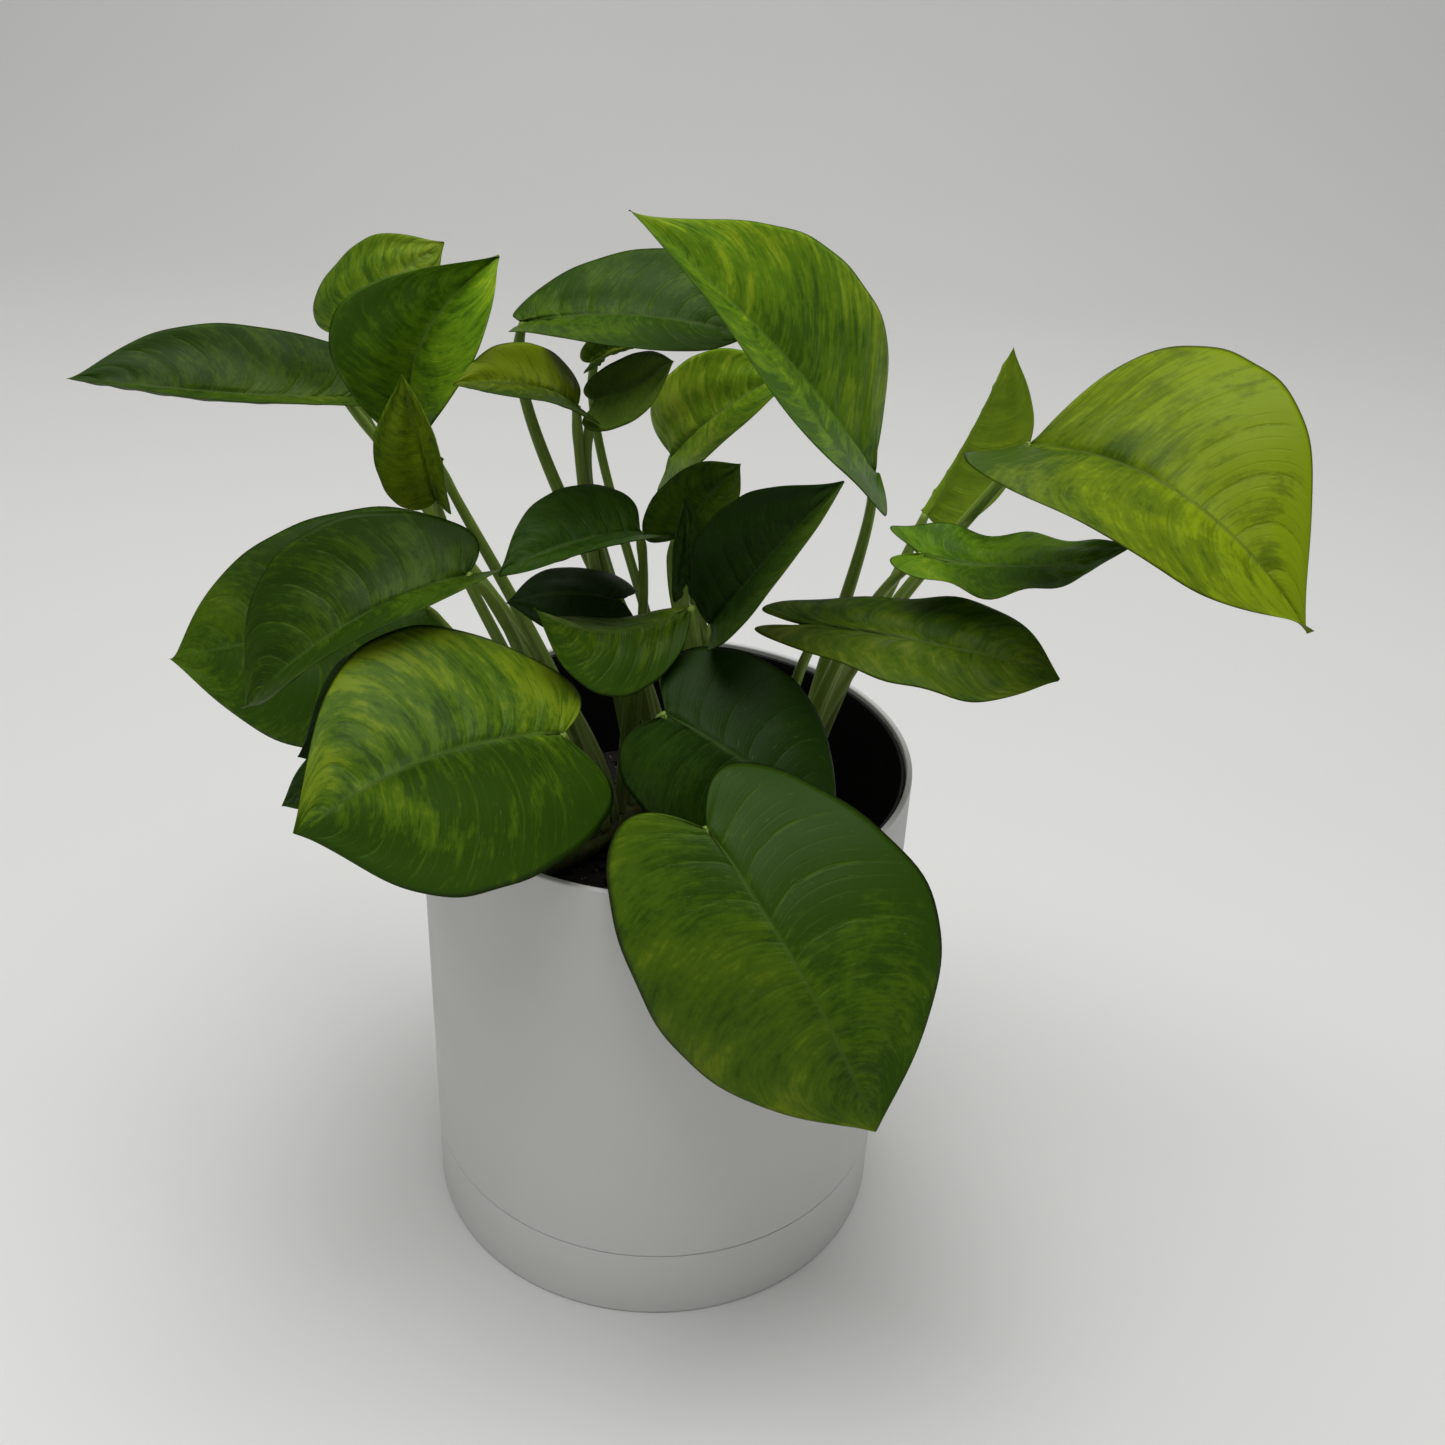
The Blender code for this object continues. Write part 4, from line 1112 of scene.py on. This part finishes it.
class PothosAddSoil(bpy.types.Operator):
    """Adds the root ball with a crumbly top, and loose crumbs on it"""

    bl_idname = "pothos.add_soil"
    bl_label = "Soil"

    def execute(self, context):
        rings, steps = 70, 180
        wide, low = SOIL_HIGH.x, SOIL_LOW.z
        level = SOIL_HIGH.z - 1.2 * MM
        share = np.linspace(0, 1, rings + 1)[1:, None]
        turn = full_turn(steps)[None, :]
        across, along = wide * share * np.cos(turn), wide * share * np.sin(turn)
        lumps = (np.sin(310 * across + 3) * np.sin(270 * along - 1)
                 + 0.6 * np.sin(620 * across - 500 * along) + 0.5 * np.sin(900 * along + 2)
                 + 0.4 * np.sin(1400 * across + 700 * along + 1))
        rim = np.clip((1 - share) / 0.08, 0, 1)
        top = np.stack([across, along, level + 0.9 * MM * lumps / 2.5 * rim - 1.5 * MM * (1 - rim)],
                       axis=-1)
        taper = np.array([0.998, 0.99, 0.95, 0.92, 0.90])[:, None]
        depth = np.array([0.03, 0.15, 0.5, 0.9, 1.0])[:, None]
        side = np.stack([wide * taper * np.cos(turn), wide * taper * np.sin(turn),
                         level + (low - level) * depth + 0 * turn], axis=-1)
        points = np.concatenate([top.reshape(-1, 3), side.reshape(-1, 3),
                                 [[0, 0, level], [0, 0, low]]])
        rows = rings + len(taper)
        caps = end_caps(steps, rows * steps)
        bed = make_piece("soil_bed", points, grid_quads(rows, steps, False, True), caps)
        dark, brown = (0.003, 0.002, 0.0015), (0.014, 0.009, 0.006)
        settle(bed, soil_material("soil_bed", dark, brown, 0.5), "soil", "soil")
        self.add_crumbs(wide, level, soil_material("soil_crumbs", dark, (0.024, 0.016, 0.01),
                                                   0.7))
        return {"FINISHED"}

    def add_crumbs(self, wide, level, finish):
        """Crumbs: one small ball of rings, stretched, dented and set down in many places."""
        random = np.random.default_rng(7)
        count, rings, steps = 900, 4, 7
        tall = np.linspace(0, pi, rings + 2)[1:-1, None]
        turn = full_turn(steps)[None, :]
        ball = np.stack([np.sin(tall) * np.cos(turn), np.sin(tall) * np.sin(turn),
                         np.cos(tall) + 0 * turn], axis=-1).reshape(-1, 3)
        ball = np.concatenate([ball, [[0, 0, 1], [0, 0, -1]]])
        per = len(ball)
        size = random.uniform(0.5, 1.7, (count, 1, 3)) * MM
        dents = random.uniform(0.75, 1.1, (count, per, 1))
        away = np.sqrt(random.uniform(0, 0.93, count)) * wide
        about = random.uniform(0, 2 * pi, count)
        place = np.stack([away * np.cos(about), away * np.sin(about),
                          level + random.uniform(0.0, 0.7, count) * MM], axis=-1)
        points = (ball[None] * dents * size + place[:, None, :]).reshape(-1, 3)
        quads = grid_quads(rings, steps, False, True)
        caps = end_caps(steps, rings * steps)
        shift = (np.arange(count) * per)[:, None, None]
        piece = make_piece("soil_crumbs", points, (quads[None] + shift).reshape(-1, 4),
                           (caps[None] + shift).reshape(-1, 3))
        piece.data.materials.append(finish)
        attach(piece, BODY)


class PothosAddStems(bpy.types.Operator):
    """Adds the two creeping stems and a channelled stalk for every leaf"""

    bl_idname = "pothos.add_stems"
    bl_label = "Stems and stalks"

    def execute(self, context):
        sizes = context.scene.pothos_stalk
        bark = runner_material()
        for vine in VINES:
            add_runner(vine, bark)
        skin = stalk_material(sizes.colour, sizes.sheath_colour)
        for name, stalk in STALKS.items():
            add_stalk(name, LEAVES[name], stalk, sizes, skin)
        return {"FINISHED"}


class PothosAddLeaves(bpy.types.Operator):
    """Adds every leaf blade, with its veins, keel and variegation"""

    bl_idname = "pothos.add_leaves"
    bl_label = "Leaves"

    def execute(self, context):
        for name, leaf in LEAVES.items():
            add_blade(name, leaf, TINTS[name], context.scene.pothos_leaf)
        return {"FINISHED"}


class PothosAddStage(bpy.types.Operator):
    """Adds the floor with its curved backdrop, the soft lights and the camera"""

    bl_idname = "pothos.add_stage"
    bl_label = "Stage, lights and camera"

    def execute(self, context):
        look = context.scene.pothos_stage
        self.add_floor(look)
        self.add_area("key_light", look.key_power, 1.5, (-0.05, -0.1, 1.9), (0.0, 0.0, 0.0))
        self.add_area("fill_light", look.fill_power, 1.2, (-0.6, -1.3, 0.8), (0.0, 0.0, 0.15))
        world = bpy.data.worlds.new("studio")
        world.use_nodes = True
        background = world.node_tree.nodes["Background"]
        background.inputs["Color"].default_value = (1.0, 0.99, 0.97, 1.0)
        background.inputs["Strength"].default_value = look.ambient
        context.scene.world = world
        context.scene.view_settings.view_transform = "Standard"
        self.add_camera(context, look)
        return {"FINISHED"}

    def add_floor(self, look):
        """A flat floor that bends up a quarter circle at the back into a wall."""
        near, back, bend, height, half = -5.0, 1.1, 0.9, 2.6, 6.0
        turn = np.linspace(0, pi / 2, 24)
        depth = np.concatenate([[near], back + bend * np.sin(turn), [back + bend]])
        lift = np.concatenate([[0.0], bend * (1 - np.cos(turn)), [height]])
        side = np.array([-half, half])[None, :]
        points = np.stack([side + 0 * depth[:, None], depth[:, None] + 0 * side,
                           lift[:, None] + 0 * side], axis=-1).reshape(-1, 3)
        quads = grid_quads(len(depth), 2)
        mesh = bpy.data.meshes.new("floor")
        mesh.from_pydata(points.tolist(), [], quads[:, ::-1].tolist())
        mesh.polygons.foreach_set("use_smooth", np.ones(len(quads), bool))
        mesh.materials.append(floor_material(look.floor_colour))
        floor = bpy.data.objects.new("floor", mesh)
        bpy.context.scene.collection.objects.link(floor)

    def add_area(self, name, power, size, place, target):
        light = bpy.data.lights.new(name, "AREA")
        light.energy = power
        light.size = size
        lamp = bpy.data.objects.new(name, light)
        lamp.location = place
        lamp.rotation_euler = (Vector(target) - Vector(place)).to_track_quat("-Z", "Y").to_euler()
        bpy.context.scene.collection.objects.link(lamp)

    def add_camera(self, context, look):
        """Looks along +Y from in front and above, rolled a little anticlockwise."""
        pitch, roll = np.radians(CAMERA_PITCH), np.radians(CAMERA_ROLL)
        right = Vector((1, 0, 0))
        up = Vector((0, np.sin(pitch), np.cos(pitch)))
        forward = Vector((0, np.cos(pitch), -np.sin(pitch)))
        camera = bpy.data.cameras.new("camera")
        camera.lens = look.lens
        camera.sensor_width = 36
        eye = bpy.data.objects.new("camera", camera)
        rolled_right = np.cos(roll) * right + np.sin(roll) * up
        rolled_up = np.cos(roll) * up - np.sin(roll) * right
        turned = Matrix((rolled_right, rolled_up, -forward)).transposed().to_4x4()
        eye.matrix_world = Matrix.Translation(CAMERA_PLACE) @ turned
        camera.clip_start = 0.01
        context.scene.collection.objects.link(eye)
        context.scene.camera = eye


class PothosPanel(bpy.types.Panel):
    """Lists the pieces of the potted pothos"""

    bl_idname = "VIEW3D_PT_pothos"
    bl_label = "Potted pothos"
    bl_space_type = "VIEW_3D"
    bl_region_type = "UI"
    bl_category = "Pothos"

    def draw(self, context):
        for operator in OPERATORS:
            self.layout.operator(operator.bl_idname)
        for holder in SETTINGS:
            settings = getattr(context.scene, holder)
            box = self.layout.box()
            for label in settings.__annotations__:
                box.prop(settings, label)


OPERATORS = [PothosAddPot, PothosAddSoil, PothosAddStems, PothosAddLeaves, PothosAddStage]
SETTINGS = {
    "pothos_pot": PothosPotSettings,
    "pothos_leaf": PothosLeafSettings,
    "pothos_stalk": PothosStalkSettings,
    "pothos_stage": PothosStageSettings,
}
CLASSES = [*SETTINGS.values(), *OPERATORS, PothosPanel]


def register():
    for item in CLASSES:
        bpy.utils.register_class(item)
    for holder, kind in SETTINGS.items():
        setattr(bpy.types.Scene, holder, PointerProperty(type=kind))


def unregister():
    for holder in SETTINGS:
        delattr(bpy.types.Scene, holder)
    for item in reversed(CLASSES):
        bpy.utils.unregister_class(item)


def main():
    register()
    bpy.ops.pothos.add_pot()
    bpy.ops.pothos.add_soil()
    bpy.ops.pothos.add_stems()
    bpy.ops.pothos.add_leaves()
    bpy.ops.pothos.add_stage()


if __name__ == "__main__":
    main()
